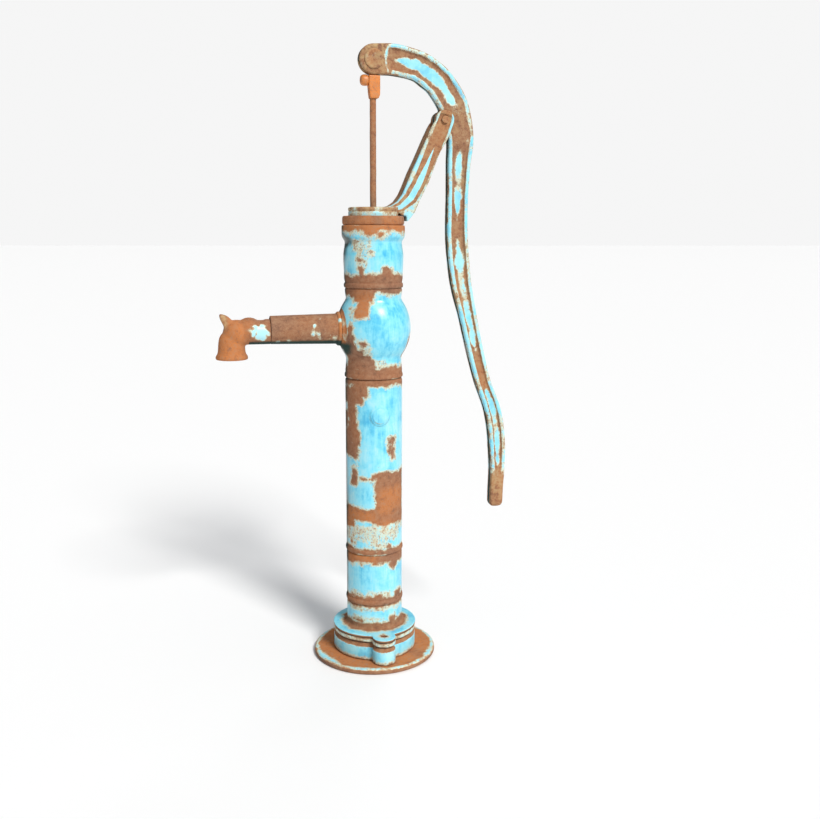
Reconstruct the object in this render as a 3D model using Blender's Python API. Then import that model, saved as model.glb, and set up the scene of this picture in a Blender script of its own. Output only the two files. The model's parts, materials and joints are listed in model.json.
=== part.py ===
# A hand well pump of cast iron: a column of turned sections on a round foot, a side spout,
# a bracketed cap, a hanging lever, and inside it the rod, the piston and both valves.
# Metres, +Z up. The spout points to -X and the lever hangs to +X. Heights are above the ground.
# Every piece is drawn about the column's axis, which stands a little to +X of the origin,
# so that the origin is under the middle of the whole pump.
import math

import bmesh
import bpy
from mathutils import Vector

column_x = 0.0135
gap = 0.0003
sides = 24

# Column
column_r = 0.0565
bore_r = 0.050
bead_r = 0.0577
bead_height = 0.009
spigot_r = 0.053
spigot_height = 0.012
foot_joint_z = 0.1168
lower_joint_z = 0.2228
spout_joint_z = 0.5778
head_joint_z = 0.7540
liner_r = 0.0465
liner_low_z = 0.330
liner_high_z = 0.575

# Foot
base_r = 0.125
base_height = 0.012
suction_r = 0.020
port_r = 0.018
flange_r = 0.085
recess_r = 0.0805
ear_r = 0.023
ear_y = 0.090
casting_top_z = 0.041
casting_lip_z = 0.0475
foot_gasket_top_z = 0.0503
valve_plate_top_z = 0.0590
flange_gasket_top_z = 0.0605
flange_top_z = 0.066
stud_r = 0.0057
stud_low_z = 0.0033
stud_high_z = 0.062
stud_hole_r = 0.0062

# Spout
bulb_z = 0.675
bulb_arc_r = 0.092
bulb_arc_offset = -0.019
bulb_half_height = 0.056
bulb_wall = 0.0065
spout_z = 0.6745
spout_pipe_r = 0.0295
spout_pipe_end_r = 0.027
spout_bore_r = 0.0215
socket_end_x = -0.0685
collar_end_x = -0.0750
pipe_start_x = -0.062
pipe_end_x = -0.203
neck_z = 0.6708
neck_r = 0.0233
nozzle_x = -0.277
nozzle_low_z = 0.620
nozzle_bore_r = 0.020
nozzle_neck_bore_r = 0.018
hook_y = 0.010

# Boss on the front of the column
boss_z = 0.507
boss_r = 0.0175
boss_y = -0.058
plug_shank_r = 0.009

# Head, clamp ring and cap
head_flange_r = 0.0613
head_top_z = 0.873
neck_top_z = 0.8797
neck_ring_r = 0.0535
ring_r = 0.060
ring_top_z = 0.8905
ring_lip_z = 0.886
cap_r = 0.0484
cap_flange_r = 0.0533
cap_top_z = 0.907
rod_slot = (-0.037, 0.009, 0.008)

# Linkage
fulcrum = (0.137, 0.0, 1.072)
eye = (0.0, 0.0, 1.178)
fork_y = 0.022
fork_slot_y = 0.0129
fork_tip_r = 0.018
lever_y = 0.0125
lug_r = 0.018
eye_r = 0.0275
pin_r = 0.0057
pin_hole_r = 0.0060
eye_pin_r = 0.007
eye_pin_hole_r = 0.0073
tongue_y = 0.005
tongue_slot_y = 0.0054
tongue_r = 0.015
rod_r = 0.0062
rod_hole_r = 0.0065
rod_top_z = 1.1455
set_screw_z = 1.1405
rod_low_z = 0.620
rod_eye_x = 0.002
rod_eye_z = 0.594
rod_eye_r = 0.0215
rod_eye_hole_r = 0.0170
rod_head_y = 0.010
screw_shank_r = 0.0040
screw_head_r = 0.0103

# Piston and valves
piston_pin_z = 0.594
piston_pin_r = 0.0050
piston_r = 0.0440
piston_port_r = 0.014
piston_tail_r = 0.024
piston_low_z = 0.514
leather_r = 0.0460
leather_thick = 0.003
follower_low_z = 0.489
yoke_cheek_y = 0.013
yoke_leg_x = 0.0320
yoke_bridge_z = 0.556
seat_z = 0.530
valve_disc_r = 0.019
valve_stem_r = 0.0060
flap_hinge = (0.0315, 0.0, 0.0608)
flap_r = 0.024
flap_thick = 0.003
weight_r = 0.0170
weight_height = 0.011
flap_bolt_r = 0.0025
flap_hole_r = 0.0028

# The points of the pump that a moving group turns or slides about
posts = {
    "pump": (0.0, 0.0, 0.0),
    "handle": fulcrum,
    "rod": eye,
    "piston": (0.0, 0.0, piston_pin_z),
    "piston_valve": (0.0, 0.0, seat_z),
    "flap": flap_hinge,
}

# Colour, roughness and metallic value of each surface
looks = {
    "blue_paint": ((0.16, 0.55, 0.72, 1.0), 0.35, 0.0),
    "rust": ((0.20, 0.085, 0.045, 1.0), 0.80, 0.1),
    "orange_rust": ((0.40, 0.13, 0.035, 1.0), 0.75, 0.1),
    "leather": ((0.16, 0.085, 0.045, 1.0), 0.70, 0.0),
    "brass": ((0.60, 0.42, 0.16, 1.0), 0.35, 1.0),
    "steel": ((0.30, 0.22, 0.17, 1.0), 0.45, 0.8),
    "iron": ((0.12, 0.10, 0.09, 1.0), 0.60, 0.5),
}


def clear_scene():
    for item in list(bpy.data.objects):
        bpy.data.objects.remove(item)


def make_posts():
    made = {}
    for name, place in posts.items():
        post = bpy.data.objects.new(name + "_post", None)
        bpy.context.collection.objects.link(post)
        if name == "pump":
            post.location = (column_x, 0.0, 0.0)
        else:
            post.parent = made["pump"]
            post.location = place
        made[name] = post
    return made


def make_material(name, look):
    colour, roughness, metallic = looks[look]
    made = bpy.data.materials.new(name)
    made.use_nodes = True
    shader = made.node_tree.nodes["Principled BSDF"]
    shader.inputs["Base Color"].default_value = colour
    shader.inputs["Roughness"].default_value = roughness
    shader.inputs["Metallic"].default_value = metallic
    return made


def finish(bm, name, look, group, at, turn):
    # The mesh becomes an object at a point given about the column's axis
    bmesh.ops.recalc_face_normals(bm, faces=bm.faces)
    mesh = bpy.data.meshes.new(name)
    bm.to_mesh(mesh)
    bm.free()
    mesh.shade_smooth()
    mesh.set_sharp_from_angle(angle=math.radians(35))
    mesh.materials.append(make_material(name, look))
    made = bpy.data.objects.new(name, mesh)
    bpy.context.collection.objects.link(made)
    made.parent = groups[group]
    made.location = Vector(at) - Vector(posts[group])
    made.rotation_euler = turn
    return made


# Turns that lay a shape drawn along Z along another axis
along_z = (0.0, 0.0, 0.0)
along_y = (math.radians(-90), 0.0, 0.0)
left = (0.0, math.radians(-90), 0.0)
front = (math.radians(90), 0.0, 0.0)


def turned(name, look, loop, group="pump", at=(0, 0, 0), turn=along_z, steps=sides):
    # A loop of (radius, height) points turned about its own Z axis.
    # A loop that starts and ends on the axis makes a solid, any other loop a ring.
    bm = bmesh.new()
    verts = [bm.verts.new((r, 0.0, z)) for r, z in loop]
    solid = loop[0][0] == 0.0
    pairs = list(zip(verts, verts[1:]))
    if not solid:
        pairs.append((verts[-1], verts[0]))
    edges = [bm.edges.new(pair) for pair in pairs]
    bmesh.ops.spin(
        bm, geom=verts + edges, cent=(0, 0, 0), axis=(0, 0, 1),
        angle=math.tau, steps=steps, use_merge=True,
    )
    bmesh.ops.remove_doubles(bm, verts=bm.verts, dist=0.00001)
    return finish(bm, name, look, group, at, turn)


def rod_shape(name, look, radius, low, high, group="pump", at=(0, 0, 0), turn=along_z, steps=24):
    # A plain round bar
    loop = [(0.0, low), (radius, low), (radius, high), (0.0, high)]
    return turned(name, look, loop, group, at, turn, steps)


def slab(name, look, outline, low, high, plane="XZ", group="pump"):
    # An outline of two coordinates in a plane, extruded along the third axis
    def lift(point, depth):
        if plane == "XZ":
            return (point[0], depth, point[1])
        return (point[0], point[1], depth)

    bm = bmesh.new()
    face = bm.faces.new([bm.verts.new(lift(point, low)) for point in outline])
    grown = bmesh.ops.extrude_face_region(bm, geom=[face])
    moved = [item for item in grown["geom"] if isinstance(item, bmesh.types.BMVert)]
    bmesh.ops.translate(bm, verts=moved, vec=Vector(lift((0.0, 0.0), high - low)))
    bmesh.ops.translate(bm, verts=bm.verts, vec=-Vector(posts[group]))
    return finish(bm, name, look, group, posts[group], along_z)


def combine(target, guide, how):
    # A guide shape is added to a piece or cut from it
    guide.hide_render = True
    guide.display_type = "WIRE"
    change = target.modifiers.new(how.lower(), "BOOLEAN")
    change.operation = how
    change.solver = "EXACT"
    change.object = guide


def cut(target, guide):
    combine(target, guide, "DIFFERENCE")


def add(target, guide):
    combine(target, guide, "UNION")


def weld(target):
    # Slivers that a cut leaves are merged away
    change = target.modifiers.new("weld", "WELD")
    change.merge_threshold = 0.00003


def arc(centre, radius, start, end, steps):
    # Points along an arc, with its angles in degrees
    points = []
    for step in range(steps + 1):
        angle = math.radians(start + (end - start) * step / steps)
        points.append((centre[0] + radius * math.cos(angle), centre[1] + radius * math.sin(angle)))
    return points


# ---- Column ----------------------------------------------------------------------------------


def section(outer, low, high, bore, socket=True, spigot=True):
    # The closed loop of one column section: its outer side, then its bore.
    # The bead at its foot hides a socket, which sits over the spigot of the section below.
    loop = []
    if socket:
        socket_r = spigot_r + gap
        loop += [(bore_r, low + spigot_height + gap), (socket_r, low + spigot_height + gap), (socket_r, low)]
    else:
        loop += [(bore_r, low)]
    loop += outer
    if spigot:
        loop += [(spigot_r, high), (spigot_r, high + spigot_height), (bore_r, high + spigot_height)]
    loop += bore
    return loop


def bead(low, radius=bead_r):
    # The raised band at the foot of a section, with eased edges
    return [
        (radius - 0.0012, low), (radius, low + 0.0018),
        (radius, low + bead_height - 0.0025), (column_r, low + bead_height),
    ]


def make_lower_column():
    high = lower_joint_z - gap
    outer = bead(foot_joint_z) + [(column_r, high)]
    return turned("lower_column", "blue_paint", section(outer, foot_joint_z, high, []))


def make_column_tube():
    high = spout_joint_z - gap
    outer = bead(lower_joint_z) + [(column_r, high)]
    tube = turned("column_tube", "blue_paint", section(outer, lower_joint_z, high, []))
    boss = rod_shape("boss_guide", "blue_paint", boss_r, 0.0525, -boss_y, at=(0, 0, boss_z), turn=front)
    hole_r = plug_shank_r + gap
    hole = rod_shape("plug_hole_guide", "blue_paint", hole_r, 0.040, 0.070, at=(0, 0, boss_z), turn=front)
    add(tube, boss)
    cut(tube, hole)
    return tube


def make_boss_plug():
    # A plain screwed plug with a low domed head
    loop = [
        (0.0, 0.0503), (plug_shank_r, 0.0503), (plug_shank_r, 0.0583), (0.0150, 0.0583),
        (0.0143, 0.0595), (0.0115, 0.0604), (0.0060, 0.0609), (0.0, 0.0610),
    ]
    return turned("boss_plug", "rust", loop, at=(0, 0, boss_z), turn=front, steps=24)


def bulb_outline(offset, half_height, steps):
    # The bulb's side, as a flat arc drawn from outside the column's axis
    points = []
    for step in range(steps + 1):
        rise = half_height * (2.0 * step / steps - 1.0)
        points.append((offset + math.sqrt(bulb_arc_r**2 - rise**2), bulb_z + rise))
    return points


def make_spout_body():
    high = head_joint_z - gap
    outer = bead(spout_joint_z, 0.0573)
    outer += [(0.0556, 0.600), (0.0548, 0.611)]
    outer += bulb_outline(bulb_arc_offset, bulb_half_height, 10)
    outer += [(0.0546, 0.737), (0.0563, 0.749), (0.0564, high)]
    inner = bulb_outline(bulb_arc_offset - bulb_wall, 0.043, 4)
    bore = [(bore_r, 0.725)] + inner[::-1] + [(bore_r, 0.625)]
    body = turned("spout_body", "blue_paint", section(outer, spout_joint_z, high, bore))
    # The spout's socket: a short cone on the bulb's side, bored for the pipe
    cone = [(0.0, 0.056), (0.0375, 0.056), (0.0335, -socket_end_x), (0.0, -socket_end_x)]
    add(body, turned("socket_guide", "blue_paint", cone, at=(0, 0, spout_z), turn=left))
    hole_r = spout_pipe_r + gap
    cut(body, rod_shape("socket_bore_guide", "blue_paint", hole_r, 0.040, 0.090, at=(0, 0, spout_z), turn=left))
    return body


def make_head_barrel():
    outer = bead(head_joint_z, 0.0573)
    outer += [
        (0.0575, 0.788), (0.0584, 0.806), (0.0584, 0.817), (0.0570, 0.826), (0.0554, 0.8415),
        (0.0598, 0.8495), (head_flange_r, 0.8530), (head_flange_r, 0.8715), (0.0605, head_top_z),
        (neck_ring_r, head_top_z), (neck_ring_r, neck_top_z), (bore_r, neck_top_z),
    ]
    return turned("head_barrel", "blue_paint", section(outer, head_joint_z, neck_top_z, [], spigot=False))


def make_cylinder_liner():
    outer_r = bore_r - gap
    loop = [(liner_r, liner_low_z), (outer_r, liner_low_z), (outer_r, liner_high_z), (liner_r, liner_high_z)]
    return turned("cylinder_liner", "brass", loop)


# ---- Foot ------------------------------------------------------------------------------------


def eared_outline(radius, ear):
    # A round plate with an ear at its front and its back
    meet_y = (radius**2 - ear**2 + ear_y**2) / (2.0 * ear_y)
    plate_angle = math.degrees(math.asin(meet_y / radius))
    ear_angle = math.degrees(math.asin((meet_y - ear_y) / ear))
    outline = arc((0.0, 0.0), radius, -plate_angle, plate_angle, 14)
    outline += arc((0.0, ear_y), ear, ear_angle, 180.0 - ear_angle, 8)
    outline += arc((0.0, 0.0), radius, 180.0 - plate_angle, 180.0 + plate_angle, 14)
    outline += arc((0.0, -ear_y), ear, 180.0 + ear_angle, 360.0 - ear_angle, 8)
    # Each arc ends where the next one starts
    return [p for p, q in zip(outline, outline[1:] + outline[:1]) if math.dist(p, q) > 0.00001]


def eared_plate(name, look, radius, ear, low, high, hole_guides):
    plate = slab(name, look, eared_outline(radius, ear), low, high, plane="XY")
    for guide in hole_guides:
        cut(plate, guide)
    return plate


def make_foot():
    # The studs' holes run down through the whole stack into the base plate
    stud_holes = []
    for name, y in (("front", -ear_y), ("back", ear_y)):
        hole = rod_shape("stud_hole_" + name, "rust", stud_hole_r, 0.003, 0.080, at=(0, y, 0), steps=16)
        stud_holes.append(hole)
        rod_shape("flange_stud_" + name, "rust", stud_r, stud_low_z, stud_high_z, at=(0, y, 0), steps=16)
    column_hole = rod_shape("column_hole_guide", "rust", bore_r, -0.010, 0.070)
    suction_hole = rod_shape("suction_hole_guide", "rust", suction_r, -0.010, 0.070, steps=24)
    port_hole = rod_shape("port_hole_guide", "rust", port_r, -0.010, 0.070, steps=24)

    base = turned(
        "base_plate", "rust",
        [
            (suction_r, 0.0), (base_r - 0.003, 0.0), (base_r, 0.003), (base_r, base_height - 0.003),
            (base_r - 0.003, base_height), (suction_r, base_height),
        ],
        steps=48,
    )
    for hole in stud_holes:
        cut(base, hole)

    foot = eared_plate(
        "foot_casting", "blue_paint", flange_r - 0.001, ear_r, base_height + gap, casting_top_z, [],
    )
    lip = slab(
        "foot_lip_guide", "rust", eared_outline(recess_r, ear_r - 0.003),
        casting_top_z - 0.004, casting_lip_z, plane="XY",
    )
    add(foot, lip)
    for hole in stud_holes + [suction_hole]:
        cut(foot, hole)

    eared_plate(
        "foot_gasket", "leather", recess_r, ear_r - 0.003, casting_lip_z + gap, foot_gasket_top_z,
        stud_holes + [port_hole],
    )
    eared_plate(
        "valve_plate", "blue_paint", flange_r - 0.001, ear_r, foot_gasket_top_z + gap, valve_plate_top_z,
        stud_holes + [port_hole],
    )
    eared_plate(
        "flange_gasket", "leather", flange_r - 0.001, ear_r, valve_plate_top_z + gap, flange_gasket_top_z,
        stud_holes + [column_hole],
    )

    flange = eared_plate(
        "column_foot", "blue_paint", flange_r, ear_r, flange_gasket_top_z + gap, flange_top_z, [],
    )
    high = foot_joint_z - gap
    low = flange_gasket_top_z + 0.001
    tube_loop = section([(column_r, low), (column_r, high)], low, high, [], socket=False)
    add(flange, turned("foot_tube_guide", "blue_paint", tube_loop))
    for hole in stud_holes + [column_hole]:
        cut(flange, hole)


# ---- Spout -----------------------------------------------------------------------------------


def make_spout_collar():
    inner_r = spout_pipe_r + 0.0004
    start = -socket_end_x + gap
    loop = [
        (inner_r, start), (0.0333, start), (0.0333, start + 0.0035),
        (0.0315, -collar_end_x), (inner_r, -collar_end_x),
    ]
    return turned("spout_collar", "orange_rust", loop, at=(0, 0, spout_z), turn=left)


def make_spout_pipe():
    loop = [
        (spout_bore_r, -pipe_start_x), (spout_pipe_r, -pipe_start_x), (spout_pipe_r, -collar_end_x),
        (spout_pipe_end_r, -pipe_end_x), (spout_bore_r, -pipe_end_x),
    ]
    return turned("spout_pipe", "rust", loop, at=(0, 0, spout_z), turn=left)


def ball(name, centre, radius):
    # A round guide, a little flat at its poles
    loop = arc((0.0, 0.0), radius, -90.0, 90.0, 8)
    loop[0] = (0.0, -radius)
    loop[-1] = (0.0, radius)
    return turned(name, "rust", loop, at=centre, steps=16)


def make_spout_nozzle():
    # One casting: a neck with a spigot in the pipe, a humped elbow, the mouth and a bucket hook
    start = -pipe_end_x + gap
    neck = turned(
        "spout_nozzle", "orange_rust",
        [(0.0, start), (neck_r, start), (neck_r, 0.262), (0.0, 0.262)],
        at=(0, 0, neck_z), turn=left, steps=20,
    )
    spigot_shape = rod_shape(
        "nozzle_spigot_guide", "rust", spout_bore_r - gap, 0.188, 0.212, at=(0, 0, spout_z), turn=left,
    )
    add(neck, spigot_shape)
    add(neck, ball("hump_guide", (-0.243, 0, 0.6735), 0.026))
    add(neck, ball("elbow_guide", (-0.266, 0, 0.6685), 0.027))
    mouth = [
        (0.0, nozzle_low_z), (0.0285, nozzle_low_z), (0.0305, 0.6245), (0.0300, 0.6285), (0.0255, 0.6320),
        (0.0253, 0.643), (0.0240, 0.655), (0.0210, 0.664), (0.0130, 0.672), (0.0, 0.6755),
    ]
    add(neck, turned("mouth_guide", "rust", mouth, at=(nozzle_x, 0, 0), steps=24))
    hook = [
        (-0.275, 0.672), (-0.277, 0.691), (-0.2827, 0.699), (-0.289, 0.7045), (-0.2986, 0.707),
        (-0.3009, 0.7070), (-0.300, 0.6975), (-0.296, 0.688), (-0.2947, 0.674), (-0.290, 0.662),
    ]
    add(neck, slab("hook_guide", "rust", hook, -hook_y, hook_y))
    # The water's way: along the neck, round the corner and down through the mouth
    cut(neck, rod_shape(
        "neck_bore_guide", "rust", nozzle_neck_bore_r, 0.180, 0.2701, at=(0, 0, neck_z + 0.001), turn=left,
    ))
    cut(neck, ball("corner_bore_guide", (-0.2705, 0, neck_z - 0.001), 0.0187))
    cut(neck, rod_shape("mouth_bore_guide", "rust", nozzle_bore_r, 0.600, 0.6655, at=(nozzle_x + 0.001, 0, 0)))
    return neck


# ---- Head ------------------------------------------------------------------------------------


def make_clamp_ring():
    inner_r = neck_ring_r + gap
    lip_r = cap_r + 0.0005
    low = head_top_z + gap
    loop = [
        (inner_r, low), (ring_r - 0.0015, low), (ring_r, low + 0.002), (ring_r, ring_top_z - 0.002),
        (ring_r - 0.0015, ring_top_z), (lip_r, ring_top_z), (lip_r, ring_lip_z), (inner_r, ring_lip_z),
    ]
    return turned("clamp_ring", "rust", loop)


def make_cap_gasket():
    low = neck_top_z + gap
    high = low + 0.002
    loop = [(0.047, low), (cap_flange_r, low), (cap_flange_r, high), (0.047, high)]
    return turned("cap_gasket", "leather", loop)


def make_cap_bracket():
    # One casting: the cap with its flange under the clamp ring, and the forked bracket
    low = neck_top_z + 0.0026
    cap = turned(
        "cap_bracket", "blue_paint",
        [
            (0.0, 0.896), (0.042, 0.896), (0.042, low), (cap_flange_r, low), (cap_flange_r, ring_lip_z - gap),
            (cap_r, ring_lip_z - gap), (cap_r, 0.8985), (cap_r - 0.0012, 0.8993), (cap_r, 0.9003),
            (cap_r, cap_top_z - 0.0015), (cap_r - 0.0015, cap_top_z), (0.0, cap_top_z),
        ],
    )
    bracket = [
        (0.014, 0.8985), (0.045, 0.8985), (0.050, 0.8914), (0.0607, 0.8914), (0.0607, 0.881), (0.0635, 0.8795),
        (0.069, 0.887), (0.077, 0.896), (0.087, 0.919), (0.1068, 0.958), (0.128, 1.012), (0.140, 1.028),
        (0.148, 1.0495),
    ]
    bracket += arc((fulcrum[0], fulcrum[2]), fork_tip_r, -12.0, 185.0, 12)
    bracket += [
        (0.111, 1.060), (0.092, 1.018), (0.0707, 0.973), (0.0600, 0.947), (0.0525, 0.931),
        (0.0426, 0.917), (0.031, 0.9095), (0.020, 0.9065),
    ]
    add(cap, slab("bracket_guide", "rust", bracket, -fork_y, fork_y))
    # The fork's slot is round, clear of the lever's lug and of the band beside it
    fork_slot = rod_shape(
        "fork_slot_guide", "rust", 0.029, -fork_slot_y, fork_slot_y, at=(0.139, 0, 1.068), turn=along_y,
    )
    cut(cap, fork_slot)
    # The rod's slot is long enough for the rod's sway
    start, end, half = rod_slot
    slot = arc((end - half, 0.0), half, -90.0, 90.0, 8) + arc((start + half, 0.0), half, 90.0, 270.0, 8)
    cut(cap, slab("rod_slot_guide", "rust", slot, 0.880, 0.920, plane="XY"))
    cut(cap, rod_shape("pin_hole_guide", "rust", pin_hole_r, -0.030, 0.030, at=fulcrum, turn=along_y))
    weld(cap)
    return cap


def split_pin(name, group, at):
    # A thin cross pin that keeps a pin in its hole
    return rod_shape(name, "steel", 0.0014, -0.0115, 0.0115, group, at, along_z, steps=8)


def make_fulcrum_pin():
    head_y = fork_y + gap
    loop = [
        (0.0, -0.030), (pin_r - 0.001, -0.030), (pin_r, -0.029), (pin_r, head_y), (0.0070, head_y),
        (0.0070, head_y + 0.002), (0.0055, head_y + 0.0028), (0.0, head_y + 0.0030),
    ]
    pin = turned("fulcrum_pin", "rust", loop, at=fulcrum, turn=front, steps=24)
    hole_at = (fulcrum[0], 0.0272, fulcrum[2])
    cut(pin, rod_shape("fulcrum_cross_guide", "steel", 0.0017, -0.020, 0.020, at=hole_at, steps=8))
    split_pin("fulcrum_split_pin", "pump", hole_at)
    washer = [(pin_hole_r, -0.0249), (0.0105, -0.0249), (0.0105, -0.0223), (pin_hole_r, -0.0223)]
    turned("fulcrum_washer", "steel", washer, at=fulcrum, turn=front, steps=24)


# ---- Lever -----------------------------------------------------------------------------------

# The lever's middle line from its eye to its grip: x, z and the band's width
lever_line = [
    (0.004, 1.178, 0.054), (0.040, 1.180, 0.055), (0.085, 1.170, 0.055), (0.126, 1.144, 0.056),
    (0.157, 1.100, 0.057), (0.172, 1.043, 0.052), (0.169, 0.985, 0.045), (0.168, 0.910, 0.041),
    (0.170, 0.830, 0.042), (0.179, 0.755, 0.040), (0.203, 0.650, 0.033), (0.229, 0.555, 0.031),
    (0.251, 0.492, 0.033), (0.261, 0.425, 0.033), (0.262, 0.375, 0.030), (0.260, 0.303, 0.028),
]
lever_rim = 0.007
lever_recess = 0.005


def curve_point(points, place):
    # A smooth curve through the points; place counts from one point to the next
    last = len(points) - 1
    index = min(int(place), last - 1)
    t = place - index
    p0, p1, p2, p3 = (points[min(max(index + k, 0), last)] for k in (-1, 0, 1, 2))
    return [
        0.5 * (2 * b + (c - a) * t + (2 * a - 5 * b + 4 * c - d) * t**2 + (3 * b - a - 3 * c + d) * t**3)
        for a, b, c, d in zip(p0, p1, p2, p3)
    ]


def recess_depth(x, z):
    # Both sides of the band are hollowed, but for its eye, its fulcrum and its grip
    if z < 0.385 or x < 0.028:
        return 0.0
    if 1.030 < z < 1.095:
        return 0.0
    return lever_recess


def lever_ring(x, z, width, thick, normal, depth):
    # One section through the band: a solid bar, or an H where the sides are hollowed
    half = width / 2
    rim = min(lever_rim, width / 4)
    slope = rim + 0.002
    across = [
        (-half, -thick), (-half + rim, -thick), (-half + slope, -thick + depth),
        (half - slope, -thick + depth), (half - rim, -thick), (half, -thick),
    ]
    across += [(u, -y) for u, y in across[::-1]]
    return [(x + normal[0] * u, y, z + normal[1] * u) for u, y in across]


def make_lever():
    stations_per_span = 2
    bm = bmesh.new()
    rings = []
    count = (len(lever_line) - 1) * stations_per_span
    for step in range(count + 1):
        place = step / stations_per_span
        x, z, width = curve_point(lever_line, place)
        ahead = curve_point(lever_line, min(place + 0.05, len(lever_line) - 1))
        behind = curve_point(lever_line, max(place - 0.05, 0))
        run = Vector((ahead[0] - behind[0], ahead[1] - behind[1])).normalized()
        points = lever_ring(x, z, width, lever_y, (run.y, -run.x), recess_depth(x, z))
        rings.append([bm.verts.new(Vector(p) - Vector(fulcrum)) for p in points])
    # The grip ends in two shorter, narrower sections
    for drop, width, thick in ((0.007, 0.024, 0.0110), (0.012, 0.016, 0.0070)):
        x, z, _ = lever_line[-1]
        points = lever_ring(x, z - drop, width, thick, (-1.0, 0.0), 0.0)
        rings.append([bm.verts.new(Vector(p) - Vector(fulcrum)) for p in points])
    for low, high in zip(rings, rings[1:]):
        for k in range(len(low)):
            n = (k + 1) % len(low)
            bm.faces.new((low[k], low[n], high[n], high[k]))
    bm.faces.new(rings[0])
    bm.faces.new(rings[-1])
    lever = finish(bm, "lever", "blue_paint", "handle", fulcrum, along_z)
    y = lever_y + 0.00002
    add(lever, rod_shape("lever_eye_guide", "rust", eye_r, -y, y, "handle", eye, along_y, 28))
    add(lever, rod_shape("lever_lug_guide", "rust", lug_r, -y, y, "handle", fulcrum, along_y, 24))
    # Inside the eye a slot holds the rod head's tongue, open below over the rod's whole swing
    chamber_r = tongue_r + 0.004
    chamber = rod_shape(
        "eye_chamber_guide", "rust", chamber_r, -tongue_slot_y, tongue_slot_y, "handle", eye, along_y, 24,
    )
    sweep = [
        (eye[0] + 0.012, eye[2] - 0.010), (eye[0] + 0.012, eye[2] - 0.035), (eye[0] - 0.040, eye[2] - 0.035),
        (eye[0] - 0.040, eye[2] - 0.012), (eye[0] - 0.012, eye[2] + 0.006),
    ]
    cut(lever, chamber)
    sweep_y = tongue_slot_y + 0.0001
    cut(lever, slab("eye_sweep_guide", "rust", sweep, -sweep_y, sweep_y, group="handle"))
    cut(lever, rod_shape("eye_hole_guide", "rust", eye_pin_hole_r, -0.030, 0.030, "handle", eye, along_y))
    cut(lever, rod_shape("lug_hole_guide", "rust", pin_hole_r, -0.030, 0.030, "handle", fulcrum, along_y))
    weld(lever)
    return lever


def make_eye_pin():
    # The pin's broad domed head covers the front of the lever's eye
    face = lever_y + 0.0004
    loop = [(0.0, -0.021), (eye_pin_r - 0.001, -0.021), (eye_pin_r, -0.020), (eye_pin_r, face), (0.0185, face)]
    loop += [(0.0183, face + 0.0012), (0.0160, face + 0.0026), (0.0110, face + 0.0036), (0.0, face + 0.0042)]
    pin = turned("eye_pin", "rust", loop, "handle", eye, front, 28)
    hole_at = (eye[0], 0.0178, eye[2])
    cut(pin, rod_shape("eye_cross_guide", "steel", 0.0017, -0.020, 0.020, "handle", hole_at, steps=8))
    split_pin("eye_split_pin", "handle", hole_at)
    washer = [(eye_pin_hole_r, -0.0154), (0.0125, -0.0154), (0.0125, -0.0129), (eye_pin_hole_r, -0.0129)]
    turned("eye_washer", "steel", washer, "handle", eye, front, 24)


# ---- Rod -------------------------------------------------------------------------------------


def make_rod_head():
    # A socket for the rod, with a tongue that hangs on the eye pin
    outline = [
        (-0.0090, 1.1495), (-0.0090, 1.122), (-0.0075, 1.111), (-0.0065, 1.107), (0.0095, 1.107),
        (0.0127, 1.113), (0.0127, 1.1495),
    ]
    head = slab("rod_head", "orange_rust", outline, -rod_head_y, rod_head_y, group="rod")
    tongue = arc((eye[0], eye[2]), tongue_r, -60.0, 240.0, 14)
    tongue += [(-0.0075, 1.148), (0.0075, 1.148)]
    add(head, slab("tongue_guide", "rust", tongue, -tongue_y, tongue_y, group="rod"))
    cut(head, rod_shape("tongue_hole_guide", "rust", eye_pin_hole_r, -0.020, 0.020, "rod", eye, along_y))
    rod_centre = (0.0, 0.0, 0.0)
    hole_top_z = rod_top_z + gap
    cut(head, rod_shape("rod_hole_guide", "rust", rod_hole_r, 1.090, hole_top_z, "rod", rod_centre, steps=16))
    screw_at = (0.0, 0.0, set_screw_z)
    cut(head, rod_shape(
        "screw_hole_guide", "rust", screw_shank_r + gap, 0.002, 0.020, "rod", screw_at, left, 16,
    ))
    return head


def make_rod_set_screw():
    # A thumb-sized screw with a rounded end, which grips the rod in its socket
    loop = [
        (0.0, 0.0064), (screw_shank_r, 0.0064), (screw_shank_r, 0.0093), (screw_head_r - 0.0008, 0.0093),
        (screw_head_r, 0.0115), (screw_head_r, 0.0185), (0.0090, 0.0222), (0.0060, 0.0240), (0.0, 0.0245),
    ]
    return turned("rod_set_screw", "orange_rust", loop, "rod", (0, 0, set_screw_z), left, 24)


def make_pump_rod():
    return rod_shape("pump_rod", "rust", rod_r, rod_low_z, rod_top_z, "rod", (0, 0, 0), along_z, 16)


def make_rod_end():
    # A wide eye round the yoke's pin: the linkage is open here, with room on every side
    centre = (rod_eye_x, rod_eye_z)
    high = rod_low_z + 0.024
    outline = arc(centre, rod_eye_r, 125.0, 415.0, 20)
    outline += [(0.0105, high - 0.010), (0.0095, high), (-0.0095, high), (-0.0105, high - 0.010)]
    end = slab("rod_end", "iron", outline, -0.0055, 0.0055, group="rod")
    low = rod_low_z - 0.004
    socket = rod_shape("rod_end_socket_guide", "iron", 0.0100, low, high, "rod", (0, 0, 0), along_z, 20)
    add(end, socket)
    eye_at = (rod_eye_x, 0.0, rod_eye_z)
    cut(end, rod_shape("rod_end_eye_guide", "iron", rod_eye_hole_r, -0.020, 0.020, "rod", eye_at, along_y, 24))
    low = rod_low_z - gap
    cut(end, rod_shape("rod_end_hole_guide", "iron", rod_hole_r, low, 0.700, "rod", (0, 0, 0), along_z, 16))
    return end


# ---- Piston ----------------------------------------------------------------------------------


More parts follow.
